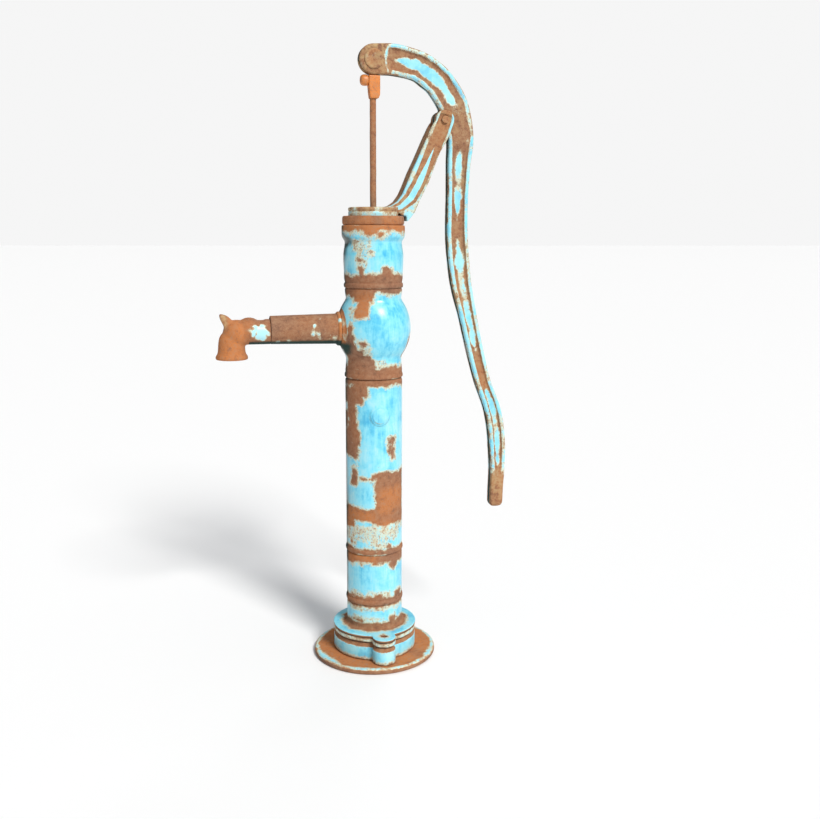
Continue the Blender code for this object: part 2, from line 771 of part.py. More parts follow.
def make_piston_yoke():
    # A bridge over the piston's valve, with two cheeks for the rod's pin
    outline = [
        (-yoke_leg_x, seat_z + gap), (-0.0225, seat_z + gap), (-0.0225, yoke_bridge_z), (0.0225, yoke_bridge_z),
        (0.0225, seat_z + gap), (yoke_leg_x, seat_z + gap), (yoke_leg_x, 0.562), (0.0280, 0.566),
        (0.0140, 0.568),
    ]
    outline += arc((0.0, piston_pin_z), 0.011, -10.0, 190.0, 10)
    outline += [(-0.0140, 0.568), (-0.0280, 0.566), (-yoke_leg_x, 0.562)]
    yoke = slab("piston_yoke", "iron", outline, -yoke_cheek_y, yoke_cheek_y, group="piston")
    rod_way = [(-0.040, 0.5665), (0.040, 0.5665), (0.040, 0.620), (-0.040, 0.620)]
    cut(yoke, slab("rod_way_guide", "iron", rod_way, -0.0072, 0.0072, group="piston"))
    pin_at = (0.0, 0.0, piston_pin_z)
    hole_r = piston_pin_r + gap
    pin_end = yoke_cheek_y + 0.0008
    cut(yoke, rod_shape("yoke_hole_guide", "iron", hole_r, -0.020, 0.020, "piston", pin_at, along_y, 16))
    rod_shape("yoke_pin", "steel", piston_pin_r, -pin_end, pin_end, "piston", pin_at, along_y, 16)


def make_piston_body():
    # The piston's plate has the valve's seat, and a threaded tail for the leather and its ring
    loop = [
        (piston_port_r, 0.482), (piston_tail_r, 0.482), (piston_tail_r, piston_low_z), (piston_r, piston_low_z),
        (piston_r, 0.526), (0.040, seat_z), (piston_port_r, seat_z),
    ]
    return turned("piston_body", "brass", loop, "piston", (0, 0, 0), along_z)


def make_cup_leather():
    # The lip of the leather turns down round the follower
    inner = piston_tail_r + gap
    high = piston_low_z - gap
    low = high - leather_thick
    loop = [
        (inner, high), (inner, low), (0.0428, low), (0.0428, 0.494),
        (leather_r, 0.494), (leather_r, high - 0.002), (0.0448, high),
    ]
    return turned("cup_leather", "leather", loop, "piston", (0, 0, 0), along_z)


def make_piston_follower():
    inner = piston_tail_r + gap
    high = piston_low_z - leather_thick - 2 * gap
    loop = [
        (inner, follower_low_z), (0.0410, follower_low_z), (0.0424, follower_low_z + 0.0015),
        (0.0424, high), (inner, high),
    ]
    return turned("piston_follower", "brass", loop, "piston", (0, 0, 0), along_z)


def make_piston_valve():
    # A poppet with a guide stem in the piston's bore
    low = seat_z + gap
    loop = [
        (0.0, 0.500), (valve_stem_r, 0.500), (valve_stem_r, 0.526), (0.0125, low), (valve_disc_r, low),
        (valve_disc_r, low + 0.004), (0.0080, low + 0.007), (0.0070, low + 0.014), (0.0, low + 0.015),
    ]
    return turned("piston_valve", "brass", loop, "piston_valve", (0, 0, 0), along_z, 24)


# ---- Foot valve ------------------------------------------------------------------------------


def make_foot_valve():
    low = valve_plate_top_z + gap
    high = low + flap_thick
    tab = 0.0320
    outline = arc((0.0, 0.0), flap_r, 28.0, 332.0, 20)
    outline += [(tab, -0.010), (tab, 0.010)]
    flap = slab("foot_valve_flap", "leather", outline, low, high, plane="XY", group="flap")
    screw_hole = rod_shape(
        "flap_hole_guide", "leather", flap_hole_r, 0.040, 0.100, "flap", (0, 0, 0), along_z, 12,
    )
    cut(flap, screw_hole)
    weight_low = high + gap
    weight_high = weight_low + weight_height
    weight = turned(
        "flap_weight", "iron",
        [
            (flap_hole_r, weight_low), (weight_r, weight_low), (weight_r, weight_high - 0.003),
            (weight_r - 0.003, weight_high), (flap_hole_r, weight_high),
        ],
        "flap", (0, 0, 0), along_z, 24,
    )
    head_low = weight_high + gap
    turned(
        "flap_screw", "brass",
        [
            (0.0, 0.0545), (flap_bolt_r, 0.0545), (flap_bolt_r, head_low), (0.0055, head_low),
            (0.0050, head_low + 0.003), (0.0, head_low + 0.0035),
        ],
        "flap", (0, 0, 0), along_z, 12,
    )
    nut = [(flap_hole_r, 0.0550), (0.0075, 0.0550), (0.0075, low - gap), (flap_hole_r, low - gap)]
    turned("flap_nut", "brass", nut, "flap", (0, 0, 0), along_z, 12)
    clip = [(0.0332, -0.012), (0.0420, -0.012), (0.0420, 0.012), (0.0332, 0.012)]
    slab("flap_clip", "brass", clip, low, low + 0.0045, plane="XY")
    return weight


clear_scene()
groups = make_posts()
make_foot()
make_lower_column()
make_column_tube()
make_boss_plug()
make_spout_body()
make_head_barrel()
make_cylinder_liner()
make_spout_collar()
make_spout_pipe()
make_spout_nozzle()
make_clamp_ring()
make_cap_gasket()
make_cap_bracket()
make_fulcrum_pin()
make_lever()
make_eye_pin()
make_rod_head()
make_rod_set_screw()
make_pump_rod()
make_rod_end()
make_piston_yoke()
make_piston_body()
make_cup_leather()
make_piston_follower()
make_piston_valve()
make_foot_valve()
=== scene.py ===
import json
import math
import random

import bmesh
import bpy
import numpy as np
from mathutils import Matrix, Vector, noise


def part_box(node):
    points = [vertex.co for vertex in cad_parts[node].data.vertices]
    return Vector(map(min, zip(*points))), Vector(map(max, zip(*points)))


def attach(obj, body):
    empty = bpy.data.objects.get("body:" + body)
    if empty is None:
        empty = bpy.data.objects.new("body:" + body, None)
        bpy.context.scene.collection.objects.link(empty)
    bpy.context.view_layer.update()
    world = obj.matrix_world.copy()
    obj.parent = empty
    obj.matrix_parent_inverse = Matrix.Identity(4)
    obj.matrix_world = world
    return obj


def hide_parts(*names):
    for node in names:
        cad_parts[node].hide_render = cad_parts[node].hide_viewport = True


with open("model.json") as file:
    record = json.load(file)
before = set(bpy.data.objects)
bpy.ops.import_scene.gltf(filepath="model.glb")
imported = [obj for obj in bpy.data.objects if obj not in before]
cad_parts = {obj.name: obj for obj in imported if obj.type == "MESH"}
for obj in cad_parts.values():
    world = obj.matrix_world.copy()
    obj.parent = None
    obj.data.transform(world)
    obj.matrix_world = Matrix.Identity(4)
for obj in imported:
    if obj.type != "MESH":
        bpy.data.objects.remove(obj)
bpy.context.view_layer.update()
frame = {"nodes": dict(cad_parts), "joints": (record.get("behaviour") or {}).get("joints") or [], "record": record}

# The looks of a hand well pump: painted cast iron that rusts through.
# Metres, in the frame's own axes. The column's axis is read from the frame.
# A piece's profile is a closed loop of (radius, height), spun about its own axis.

gap = 0.0003
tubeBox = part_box("column_tube")
axisX = (tubeBox[0].x + tubeBox[1].x) / 2


def lowOf(node):
    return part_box(node)[0].z


def highOf(node):
    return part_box(node)[1].z


camera = {
    "distance": 1.8694,      # from the column's axis
    "height": 0.86,
    "side": 12.2,            # degrees towards the spout
    "turn": 2.221,           # degrees past the axis
    "pitch": 10.588,
    "roll": -0.217,
    "lens": 41.63,
    "sensor": 36,
}


def placed(name, data):
    made = bpy.data.objects.new(name, data)
    bpy.context.collection.objects.link(made)
    return made


def makeCamera():
    side = math.radians(camera["side"])
    heading = side + math.radians(camera["turn"])
    pitch = math.radians(camera["pitch"])
    data = bpy.data.cameras.new("camera")
    data.lens = camera["lens"]
    data.sensor_width = camera["sensor"]
    made = placed("camera", data)
    level = math.cos(pitch)
    ahead = Vector((math.sin(heading) * level, math.cos(heading) * level, -math.sin(pitch)))
    right = Vector((math.cos(heading), -math.sin(heading), 0))
    up = right.cross(ahead)
    place = Matrix((right, up, -ahead)).transposed().to_4x4()
    place = place @ Matrix.Rotation(math.radians(-camera["roll"]), 4, "Z")
    at = (axisX - camera["distance"] * math.sin(side), -camera["distance"] * math.cos(side), camera["height"])
    place.translation = Vector(at)
    made.matrix_world = place
    bpy.context.scene.camera = made


# Degrees round from the front and above the floor, and the width of the sun's disc
lights = {
    "key": {"azimuth": 19, "elevation": 40, "spread": 17, "power": 3.15, "colour": (1.0, 0.985, 0.95)},
    "top": {"azimuth": 60, "elevation": 80, "spread": 60, "power": 0.75, "colour": (1.0, 1.0, 1.0)},
    "rim": {"azimuth": 150, "elevation": 40, "spread": 30, "power": 0.25, "colour": (1.0, 1.0, 1.0)},
}
room = {
    "sky": (0.9, 0.95, 1.0),
    "skyStrength": 0.2,
    "seen": 0.92,                # the backdrop's own tone
    "floor": (0.912, 0.912, 0.922),
    "floorRoughness": 0.9,
    "floorSize": 60,
    "floorDrop": 0.0002,         # keeps the floor clear of the foot's underside
    "lightCentre": 0.65,
    "lightAway": 3,
}


def makeLight(name, facts):
    azimuth = math.radians(facts["azimuth"])
    elevation = math.radians(facts["elevation"])
    away = Vector((
        math.sin(azimuth) * math.cos(elevation),
        -math.cos(azimuth) * math.cos(elevation),
        math.sin(elevation),
    ))
    data = bpy.data.lights.new(name, "SUN")
    data.angle = math.radians(facts["spread"])
    data.energy = facts["power"]
    data.color = facts["colour"]
    made = placed(name, data)
    made.location = Vector((axisX, 0, room["lightCentre"])) + away * room["lightAway"]
    made.visible_glossy = name == "key"
    made.rotation_mode = "QUATERNION"
    made.rotation_quaternion = away.to_track_quat("Z", "Y")


def makeRoom():
    world = bpy.data.worlds.new("world")
    bpy.context.scene.world = world
    world.use_nodes = True
    tree = world.node_tree
    tree.nodes.clear()
    output = tree.nodes.new("ShaderNodeOutputWorld")
    sky = addNode(tree, "ShaderNodeBackground", {"Color": (*room["sky"], 1), "Strength": room["skyStrength"]})
    seen = addNode(tree, "ShaderNodeBackground", {"Color": (room["seen"],) * 3 + (1,), "Strength": 1.0})
    path = addNode(tree, "ShaderNodeLightPath")
    mix = addNode(tree, "ShaderNodeMixShader", {
        0: path.outputs["Is Camera Ray"], 1: sky.outputs[0], 2: seen.outputs[0],
    })
    tree.links.new(mix.outputs[0], output.inputs["Surface"])

    bm = bmesh.new()
    bmesh.ops.create_grid(bm, x_segments=1, y_segments=1, size=room["floorSize"])
    mesh = bpy.data.meshes.new("floor")
    bm.to_mesh(mesh)
    bm.free()
    floor = placed("floor", mesh)
    floor.location.z = -room["floorDrop"]
    pale, _, shader = blankMaterial("paleFloor")
    shader.inputs["Base Color"].default_value = (*room["floor"], 1)
    shader.inputs["Roughness"].default_value = room["floorRoughness"]
    mesh.materials.append(pale)


def addNode(tree, kind, inputs=None, **settings):
    made = tree.nodes.new(kind)
    for key, value in settings.items():
        setattr(made, key, value)
    for key, value in (inputs or {}).items():
        if isinstance(value, bpy.types.NodeSocket):
            tree.links.new(value, made.inputs[key])
        else:
            made.inputs[key].default_value = value
    return made


def blankMaterial(name):
    made = bpy.data.materials.new(name)
    made.use_nodes = True
    return made, made.node_tree, made.node_tree.nodes["Principled BSDF"]


def sumOf(tree, a, b, how="ADD"):
    return addNode(tree, "ShaderNodeMath", {0: a, 1: b}, operation=how).outputs[0]


def timesOf(tree, a, b):
    return sumOf(tree, a, b, "MULTIPLY")


def softStep(tree, value, low, high):
    made = addNode(
        tree, "ShaderNodeMapRange",
        {"Value": value, "From Min": low, "From Max": high}, interpolation_type="SMOOTHSTEP",
    )
    return made.outputs["Result"]


def blendOf(tree, share, first, second):
    made = addNode(tree, "ShaderNodeMix", data_type="RGBA")
    for socket, value in ((made.inputs[0], share), (made.inputs[6], first), (made.inputs[7], second)):
        if isinstance(value, bpy.types.NodeSocket):
            tree.links.new(value, socket)
        else:
            socket.default_value = value
    return made.outputs[2]


def noiseOf(tree, place, scale, detail=6, roughness=0.6, distortion=0.0):
    made = addNode(
        tree, "ShaderNodeTexNoise",
        {"Vector": place, "Scale": scale, "Detail": detail, "Roughness": roughness, "Distortion": distortion},
    )
    return made.outputs["Fac"]


def rampOf(tree, value, stops):
    made = addNode(tree, "ShaderNodeValToRGB", {"Fac": value})
    ramp = made.color_ramp
    while len(ramp.elements) < len(stops):
        ramp.elements.new(0.5)
    for element, (place, colour) in zip(ramp.elements, stops):
        element.position = place
        element.color = (*colour, 1)
    return made.outputs["Color"]


paintShades = {
    # Dark green painted shade, for sides and undersides that the light doesn't reach
    "paintedShade": (0.012, 0.04, 0.032),
    "deep": (0.045, 0.4, 0.68),
    "mid": (0.11, 0.54, 0.76),
    "light": (0.22, 0.68, 0.84),
    "pale": (0.42, 0.76, 0.83),
    "cream": (0.6, 0.54, 0.32),
    "creamPale": (0.64, 0.72, 0.62),
}
rustShades = {
    "dark": (0.095, 0.046, 0.03),
    "brown": (0.215, 0.104, 0.064),
    "tan": (0.36, 0.205, 0.12),
    "orange": (0.52, 0.17, 0.04),
    "amber": (0.74, 0.215, 0.022),
    "straw": (0.48, 0.335, 0.165),
}


# Noises are scale, detail, roughness and sometimes distortion; drip and streak stretch the space
paintLook = {
    "drip": (1, 1, 0.62),            # ragged edges are drawn out downwards
    "ragged": (85, 10, 0.74),
    "grit": (520, 5, 0.65),
    "raggedShift": 0.62,
    "gritShift": 0.34,
    "rustEdge": (0.455, 0.57),
    "creamEdge": (0.345, 0.465),
    "creamDulling": 0.12,
    "speck": (230, 5, 0.6, 0.3),
    "speckShare": 0.85,
    "pinholes": (330, 3, 0.5),
    "streak": (170, 170, 26),
    "streakShare": 0.3,
    "cloud": (24, 8, 0.66),
    "ripple": (38, 3, 0.5),
    # The colour and share of the painted shadow along the paint's chipped edge
    "line": (0.16, 0.08, 0.045),
    "edgeShadowShare": 0.22,
}
rustLook = {"blotch": (110, 9, 0.72), "grain": (900, 3, 0.7), "strawShare": 0.85}


def rustColour(tree, place, orange, straw, bright="orange"):
    # Blotches from dark brown to tan, pulled to orange by the piece's own map
    shades = rustShades
    blotch = noiseOf(tree, place, *rustLook["blotch"])
    brown = rampOf(tree, blotch, [(0.26, shades["dark"]), (0.48, shades["brown"]), (0.74, shades["tan"])])
    strong = rampOf(tree, blotch, [(0.3, shades["brown"]), (0.48, shades[bright]), (0.75, shades["tan"])])
    mixed = blendOf(tree, orange, brown, strong)
    grain = noiseOf(tree, place, *rustLook["grain"])
    mixed = blendOf(tree, softStep(tree, grain, 0.5, 0.68), mixed, (*shades["tan"], 1))
    share = timesOf(tree, straw, timesOf(tree, softStep(tree, blotch, 0.36, 0.62), rustLook["strawShare"]))
    return blendOf(tree, share, mixed, (*shades["straw"], 1))


def wornPaint(name, roughness=0.3, streaks=1.0, rustRoughness=0.86, bright="orange"):
    # The piece's map holds rust, orange and paleness in its first three channels, and painted shade in the fourth.
    # Rust shows where the first passes one half, and the paint turns cream before that.
    look = paintLook
    made, tree, shader = blankMaterial(name)
    place = addNode(tree, "ShaderNodeTexCoord").outputs["Object"]
    wearAndShade = addNode(tree, "ShaderNodeAttribute", attribute_name="wearAndShade", attribute_type="GEOMETRY")
    parts = addNode(tree, "ShaderNodeSeparateColor", {"Color": wearAndShade.outputs["Color"]})
    rust, orange, pale = parts.outputs[0], parts.outputs[1], parts.outputs[2]

    dripping = addNode(tree, "ShaderNodeMapping", {"Vector": place, "Scale": look["drip"]}).outputs[0]
    ragged = noiseOf(tree, dripping, *look["ragged"])
    grit = noiseOf(tree, place, *look["grit"])
    shift = timesOf(tree, sumOf(tree, ragged, 0.5, "SUBTRACT"), look["raggedShift"])
    shiftFine = timesOf(tree, sumOf(tree, grit, 0.5, "SUBTRACT"), look["gritShift"])
    edge = sumOf(tree, sumOf(tree, rust, shift), shiftFine)
    rustMask = softStep(tree, edge, *look["rustEdge"])
    creamMask = softStep(tree, edge, *look["creamEdge"])
    speckNoise = noiseOf(tree, place, *look["speck"])
    speck = timesOf(tree, softStep(tree, speckNoise, 0.54, 0.62), softStep(tree, edge, 0.33, 0.45))
    pinholes = softStep(tree, noiseOf(tree, place, *look["pinholes"]), 0.735, 0.765)
    rustAll = sumOf(tree, rustMask, timesOf(tree, speck, look["speckShare"]), "MAXIMUM")
    rustAll = sumOf(tree, rustAll, pinholes, "MAXIMUM")

    stretched = addNode(tree, "ShaderNodeMapping", {"Vector": place, "Scale": look["streak"]}).outputs[0]
    streak = noiseOf(tree, stretched, 1.0, 5, 0.6)
    cloud = noiseOf(tree, place, *look["cloud"])
    streakShare = look["streakShare"] * streaks
    tone = sumOf(tree, timesOf(tree, streak, streakShare), timesOf(tree, cloud, 1.0 - streakShare))
    stops = zip((0.33, 0.42, 0.5, 0.66), ("deep", "mid", "light", "pale"))
    blue = rampOf(tree, tone, [(stop, paintShades[shade]) for stop, shade in stops])
    blue = blendOf(tree, pale, blue, (*paintShades["pale"], 1))
    cream = rampOf(tree, grit, [(0.35, paintShades["cream"]), (0.65, paintShades["creamPale"])])
    painted = blendOf(tree, creamMask, blue, cream)
    colour = blendOf(tree, rustAll, painted, rustColour(tree, place, orange, pale, bright))
    # A thin dark line along the chipped edge of the paint is painted shadow, as if cast by the paint layer's step
    edgeShadowMask = timesOf(tree, softStep(tree, edge, 0.475, 0.495), softStep(tree, edge, 0.545, 0.515))
    colour = blendOf(tree, timesOf(tree, edgeShadowMask, look["edgeShadowShare"]), colour, (*look["line"], 1))
    # Painted shade: the fourth channel pulls the colour towards dark green where the piece's map puts shade
    paintedShade = timesOf(tree, wearAndShade.outputs["Alpha"], sumOf(tree, ragged, 0.62, "ADD"))
    colour = blendOf(tree, softStep(tree, paintedShade, 0.15, 1.0), colour, (*paintShades["paintedShade"], 1))
    tree.links.new(colour, shader.inputs["Base Color"])

    gloss = addNode(
        tree, "ShaderNodeMapRange",
        {"Value": rustAll, "To Min": roughness, "To Max": rustRoughness},
    ).outputs["Result"]
    gloss = sumOf(tree, gloss, timesOf(tree, creamMask, look["creamDulling"]))
    tree.links.new(gloss, shader.inputs["Roughness"])

    # Rust lies lower than the film of paint, and is pitted
    pits = timesOf(tree, timesOf(tree, blotchHeight(tree, place), rustAll), 0.9)
    paintFilmAndShade = timesOf(tree, sumOf(tree, 1.0, rustAll, "SUBTRACT"), 0.55)
    ripple = timesOf(tree, noiseOf(tree, place, *look["ripple"]), 0.3)
    height = sumOf(tree, sumOf(tree, pits, paintFilmAndShade), ripple)
    bump = addNode(tree, "ShaderNodeBump", {"Height": height, "Strength": 0.55, "Distance": 0.0009})
    tree.links.new(bump.outputs[0], shader.inputs["Normal"])
    return made


def blotchHeight(tree, place):
    coarse = noiseOf(tree, place, 260, 6, 0.65)
    fine = noiseOf(tree, place, 1100, 3, 0.6)
    return sumOf(tree, timesOf(tree, coarse, 0.7), timesOf(tree, fine, 0.3))


def plainMetal(name, dark, light, scale, roughness, metallic, bumpHeight=0.0003):
    # A bare surface: two shades in blotches, and a fine grain
    made, tree, shader = blankMaterial(name)
    place = addNode(tree, "ShaderNodeTexCoord").outputs["Object"]
    blotch = noiseOf(tree, place, scale, 7, 0.62, 0.3)
    tree.links.new(rampOf(tree, blotch, [(0.36, dark), (0.66, light)]), shader.inputs["Base Color"])
    spread = addNode(
        tree, "ShaderNodeMapRange",
        {"Value": blotch, "To Min": roughness - 0.1, "To Max": roughness + 0.12},
    )
    tree.links.new(spread.outputs["Result"], shader.inputs["Roughness"])
    shader.inputs["Metallic"].default_value = metallic
    bump = addNode(
        tree, "ShaderNodeBump",
        {"Height": blotchHeight(tree, place), "Strength": 0.5, "Distance": bumpHeight},
    )
    tree.links.new(bump.outputs[0], shader.inputs["Normal"])
    return made


def clamp(value, low=0.0, high=1.0):
    return max(low, min(high, value))


def clip(values, low=0.0, high=1.0):
    return np.clip(values, low, high)


class Spots:
    # A piece's points as columns, counted from the column's axis, with waves of noise over them
    def __init__(self, mesh):
        self.points = [vertex.co.copy() for vertex in mesh.vertices]
        table = np.array(self.points)
        self.x = table[:, 0] - axisX
        self.y = table[:, 1]
        self.z = table[:, 2]
        self.radius = np.hypot(self.x, self.y)
        self.angle = np.degrees(np.arctan2(self.x, -self.y))

    def wave(self, scale, shift=0.0):
        away = Vector((shift, shift * 2.3, shift * 0.4))
        return np.array([noise.noise(point * scale + away) for point in self.points])

    def mottle(self, middle, amount, scale, shift=0.0):
        return clip(middle + amount * self.wave(scale, shift))

    def roughen(self, amount):
        # Broad and small waves that make a zone's outline irregular
        return amount * (self.wave(30.0) + 0.5 * self.wave(90.0, 3.1))

    def lobes(self, scale, shift):
        # Slow waves round the axis
        turns = np.radians(self.angle)
        spots = zip(np.cos(turns) * scale, np.sin(turns) * scale)
        return np.array([noise.noise(Vector((a, b, shift))) for a, b in spots])

    def near(self, x, y, z):
        return np.sqrt((self.x - x) ** 2 + (self.y - y) ** 2 + (self.z - z) ** 2)


def zoneDistance(spots, zones):
    # The distance to the nearest zone on a round wall, negative inside it.
    # A zone is its middle angle and height, and half its width in degrees and half its height.
    nearest = np.ones(len(spots.z))
    for middle, height, halfAngle, halfHeight in zones:
        upright = np.abs(spots.z - height) - halfHeight
        if halfAngle >= 180:
            nearest = np.minimum(nearest, upright)
            continue
        turn = np.abs((spots.angle - middle + 180.0) % 360.0 - 180.0)
        across = np.radians(turn - halfAngle) * spots.radius
        corner = min(0.006, halfHeight)
        outside = np.hypot(np.maximum(across + corner, 0), np.maximum(upright + corner, 0)) - corner
        inside = np.maximum(across, upright)
        nearest = np.minimum(nearest, np.maximum(outside, np.minimum(inside, 0)))
    return nearest


halo = 0.045         # wear falls from one half to nothing over half of this


def wearFrom(distance):
    # One half on a zone's edge, full well inside it, fading over the halo outside
    return clip(0.5 - distance * np.where(distance < 0, 2.0, 1.0) / halo)


def creamFrom(distance):
    # Paint that is just short of rust, with the same halo
    return clip(0.44 - np.maximum(distance, 0) / halo)


def strewn(seed, count, lowZ, highZ, firstAngle=75, lastAngle=275):
    # Zones for the side that faces away
    pick = random.Random(seed)
    zones = []
    for _ in range(count):
        zones.append((
            pick.uniform(firstAngle, lastAngle), pick.uniform(lowZ, highZ),
            pick.uniform(6, 24), pick.uniform(0.006, 0.022),
        ))
    return zones


# Where the painted shade lies on the column: its middle angle and half its width, in degrees
shadeSide = {"angle": -99, "half": 30}


def columnWear(spots, zones, creamZones=(), orangeZones=()):
    shift = spots.roughen(0.0065)
    rust = wearFrom(zoneDistance(spots, zones) + shift)
    if creamZones:
        rust = np.maximum(rust, creamFrom(zoneDistance(spots, creamZones) + shift))
    orange = 0.25 + 0.35 * spots.wave(17.0)
    if orangeZones:
        orange += clip(0.6 - (zoneDistance(spots, orangeZones) + shift) / 0.03, 0.0, 0.6)
    # The side turned away from the key light gets painted shade, dark green
    turn = (spots.angle - shadeSide["angle"] + 8 * spots.wave(20) + 180) % 360 - 180
    paintFilmAndShade = clip(1 - np.abs(turn) / shadeSide["half"]) ** 0.9
    return rust, clip(orange), 0.0, paintFilmAndShade


def paintWearAndShade(piece, wearAt, *more):
    mesh = piece.data
    layer = mesh.color_attributes.new("wearAndShade", "FLOAT_COLOR", "POINT")
    values = np.zeros((len(mesh.vertices), 4))
    for channel, part in enumerate(wearAt(Spots(mesh), *more)):
        values[:, channel] = part
    layer.data.foreach_set("color", values.ravel())


def newPiece(name, bm, material, body, nodes):
    bmesh.ops.recalc_face_normals(bm, faces=bm.faces)
    mesh = bpy.data.meshes.new(name)
    bm.to_mesh(mesh)
    bm.free()
    mesh.shade_smooth()
    mesh.set_sharp_from_angle(angle=math.radians(50))
    mesh.materials.append(material)
    made = placed(name, mesh)
    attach(made, body)
    if nodes:
        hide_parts(*nodes)
    return made


def eased(points, ease, steps=3):
    # A closed outline with its sharp corners rounded off
    made = []
    count = len(points)
    for index, point in enumerate(points):
        here = Vector(point)
        before = Vector(points[index - 1]) - here
        after = Vector(points[(index + 1) % count]) - here
        turn = before.angle(after, math.pi)
        reach = min(ease, before.length * 0.45, after.length * 0.45)
        if turn > math.radians(160) or reach < 0.0002:
            made.append(tuple(here))
            continue
        first = here + before.normalized() * reach
        last = here + after.normalized() * reach
        for step in range(steps + 1):
            t = step / steps
            made.append(tuple(first * (1 - t) ** 2 + here * 2 * t * (1 - t) + last * t**2))
    return made


def splitRuns(points, longest, keepR):
    # Long outer runs of a profile are cut into shorter ones, so that the wear map is fine enough
    made = []
    for point, after in zip(points, points[1:] + points[:1]):
        made.append(point)
        length = math.dist(point, after)
        if min(point[0], after[0]) >= keepR and length > longest:
            pieces = math.ceil(length / longest)
            for k in range(1, pieces):
                made.append(tuple(a + (b - a) * k / pieces for a, b in zip(point, after)))
    return made


def spinLoop(bm, loop, steps, matrix):
    # A closed loop of (radius, height) points is spun about Z, then put in its place
    verts = [bm.verts.new((r, 0, z)) for r, z in loop]
    pairs = zip(verts, verts[1:] + verts[:1])
    edges = [bm.edges.new(pair) for pair in pairs if pair[0].co.x + pair[1].co.x > 1e-7]
    bmesh.ops.spin(
        bm, geom=verts + edges, cent=(0, 0, 0), axis=(0, 0, 1),
        angle=math.tau, steps=steps, use_merge=True,
    )
    bmesh.ops.remove_doubles(bm, verts=bm.verts, dist=0.000005)
    bmesh.ops.transform(bm, matrix=matrix, verts=bm.verts)


def upright(x=None, y=0.0, z=0.0):
    return Matrix.Translation((axisX if x is None else x, y, z))


def towards(direction, at):
    # Local +Z is laid along a direction
    turn = Vector(direction).to_track_quat("Z", "Y").to_matrix().to_4x4()
    return Matrix.Translation(at) @ turn


def turnedPiece(
    name, loop, material, body, nodes, matrix=None, steps=128, ease=0.0012, longest=0.004, keepR=0.0,
):
    bm = bmesh.new()
    profile = splitRuns(eased(loop, ease), longest, keepR)
    spinLoop(bm, profile, steps, matrix or upright())
    return newPiece(name, bm, material, body, nodes)


def arc(centre, radius, start, end, steps):
    points = []
    for step in range(steps + 1):
        angle = math.radians(start + (end - start) * step / steps)
        points.append((centre[0] + radius * math.cos(angle), centre[1] + radius * math.sin(angle)))
    return points


def curvePoint(points, place):
    # A smooth curve through the points; place counts from one point to the next
    last = len(points) - 1
    index = min(int(place), last - 1)
    t = place - index
    p0, p1, p2, p3 = (points[min(max(index + k, 0), last)] for k in (-1, 0, 1, 2))
    return [
        0.5 * (2 * b + (c - a) * t + (2 * a - 5 * b + 4 * c - d) * t**2 + (3 * b - a - 3 * c + d) * t**3)
        for a, b, c, d in zip(p0, p1, p2, p3)
    ]


def smoothOutline(points, stepsEach):
    # A closed smooth curve through the points
    count = len(points)
    made = []
    for index in range(count):
        ring = [points[(index + k - 1) % count] for k in range(4)]
        for step in range(stepsEach):
            made.append(tuple(curvePoint(ring, 1 + step / stepsEach)))
    return made


def slabMesh(bm, outline, low, high, plane="XZ"):
    # An outline extruded along the axis that its plane leaves out
    def lift(point, depth):
        if plane == "XZ":
            return Vector((point[0], depth, point[1]))
        return Vector((point[0], point[1], depth))

    face = bm.faces.new([bm.verts.new(lift(point, low)) for point in outline])
    grown = bmesh.ops.extrude_face_region(bm, geom=[face])
    moved = [item for item in grown["geom"] if isinstance(item, bmesh.types.BMVert)]
    bmesh.ops.translate(bm, verts=moved, vec=lift((0, 0), high - low))
    bmesh.ops.recalc_face_normals(bm, faces=bm.faces)
    return bm


def looseMesh(bm):
    bmesh.ops.recalc_face_normals(bm, faces=bm.faces)
    mesh = bpy.data.meshes.new("loose")
    bm.to_mesh(mesh)
    bm.free()
    return placed("loose", mesh)


def smoothed(bm, verts, times):
    for _ in range(times):
        bmesh.ops.smooth_vert(
            bm, verts=verts, factor=0.5, use_axis_x=True, use_axis_y=True, use_axis_z=True,
        )


def cast(start, added, removed, voxel, smoothing):
    # Shapes are joined, cut and remeshed into one skin with the soft edges of a casting
    body = looseMesh(start)
    tools = []
    for bm, how in [(bm, "UNION") for bm in added] + [(bm, "DIFFERENCE") for bm in removed]:
        tool = looseMesh(bm)
        tools.append(tool)
        change = body.modifiers.new("join", "BOOLEAN")
        change.operation = how
        change.solver = "MANIFOLD"
        change.object = tool
    skin = body.modifiers.new("skin", "REMESH")
    skin.mode = "VOXEL"
    skin.voxel_size = voxel
    bpy.context.view_layer.update()
    graph = bpy.context.evaluated_depsgraph_get()
    done = bmesh.new()
    done.from_mesh(body.evaluated_get(graph).to_mesh())
    for tool in tools + [body]:
        bpy.data.objects.remove(tool)
    smoothed(done, done.verts, smoothing)
    return done


def barMesh(radius, low, high, matrix, steps=48):
    bm = bmesh.new()
    spinLoop(bm, [(0.0, low), (radius, low), (radius, high), (0.0, high)], steps, matrix)
    return bm


def spunMesh(loop, matrix, steps=64):
    bm = bmesh.new()
    spinLoop(bm, loop, steps, matrix)
    return bm


def ballMesh(centre, radius):
    bm = bmesh.new()
    bmesh.ops.create_uvsphere(bm, u_segments=48, v_segments=24, radius=radius)
    bmesh.ops.translate(bm, verts=bm.verts, vec=centre)
    return bm


column = {
    "outer": 0.0565, "bore": 0.05, "bead": 0.0577, "upperBead": 0.0573, "beadHeight": 0.009,
    "spigot": 0.053, "spigotHeight": 0.012,
    "fineFrom": 0.0535,      # only walls further out than this are seen, and finely divided
}
bulb = {"z": 0.675, "arc": 0.092, "offset": -0.019, "half": 0.056, "wall": 0.0065}


def sectionLoop(outer, low, high, bore=(), socket=True, spigot=True):
    inner, spigotR, rise = column["bore"], column["spigot"], column["spigotHeight"]
    if socket:
        wall = spigotR + gap
        loop = [(inner, low + rise + gap), (wall, low + rise + gap), (wall, low)]
    else:
        loop = [(inner, low)]
    loop += outer
    if spigot:
        loop += [(spigotR, high), (spigotR, high + rise), (inner, high + rise)]
    return loop + list(bore)


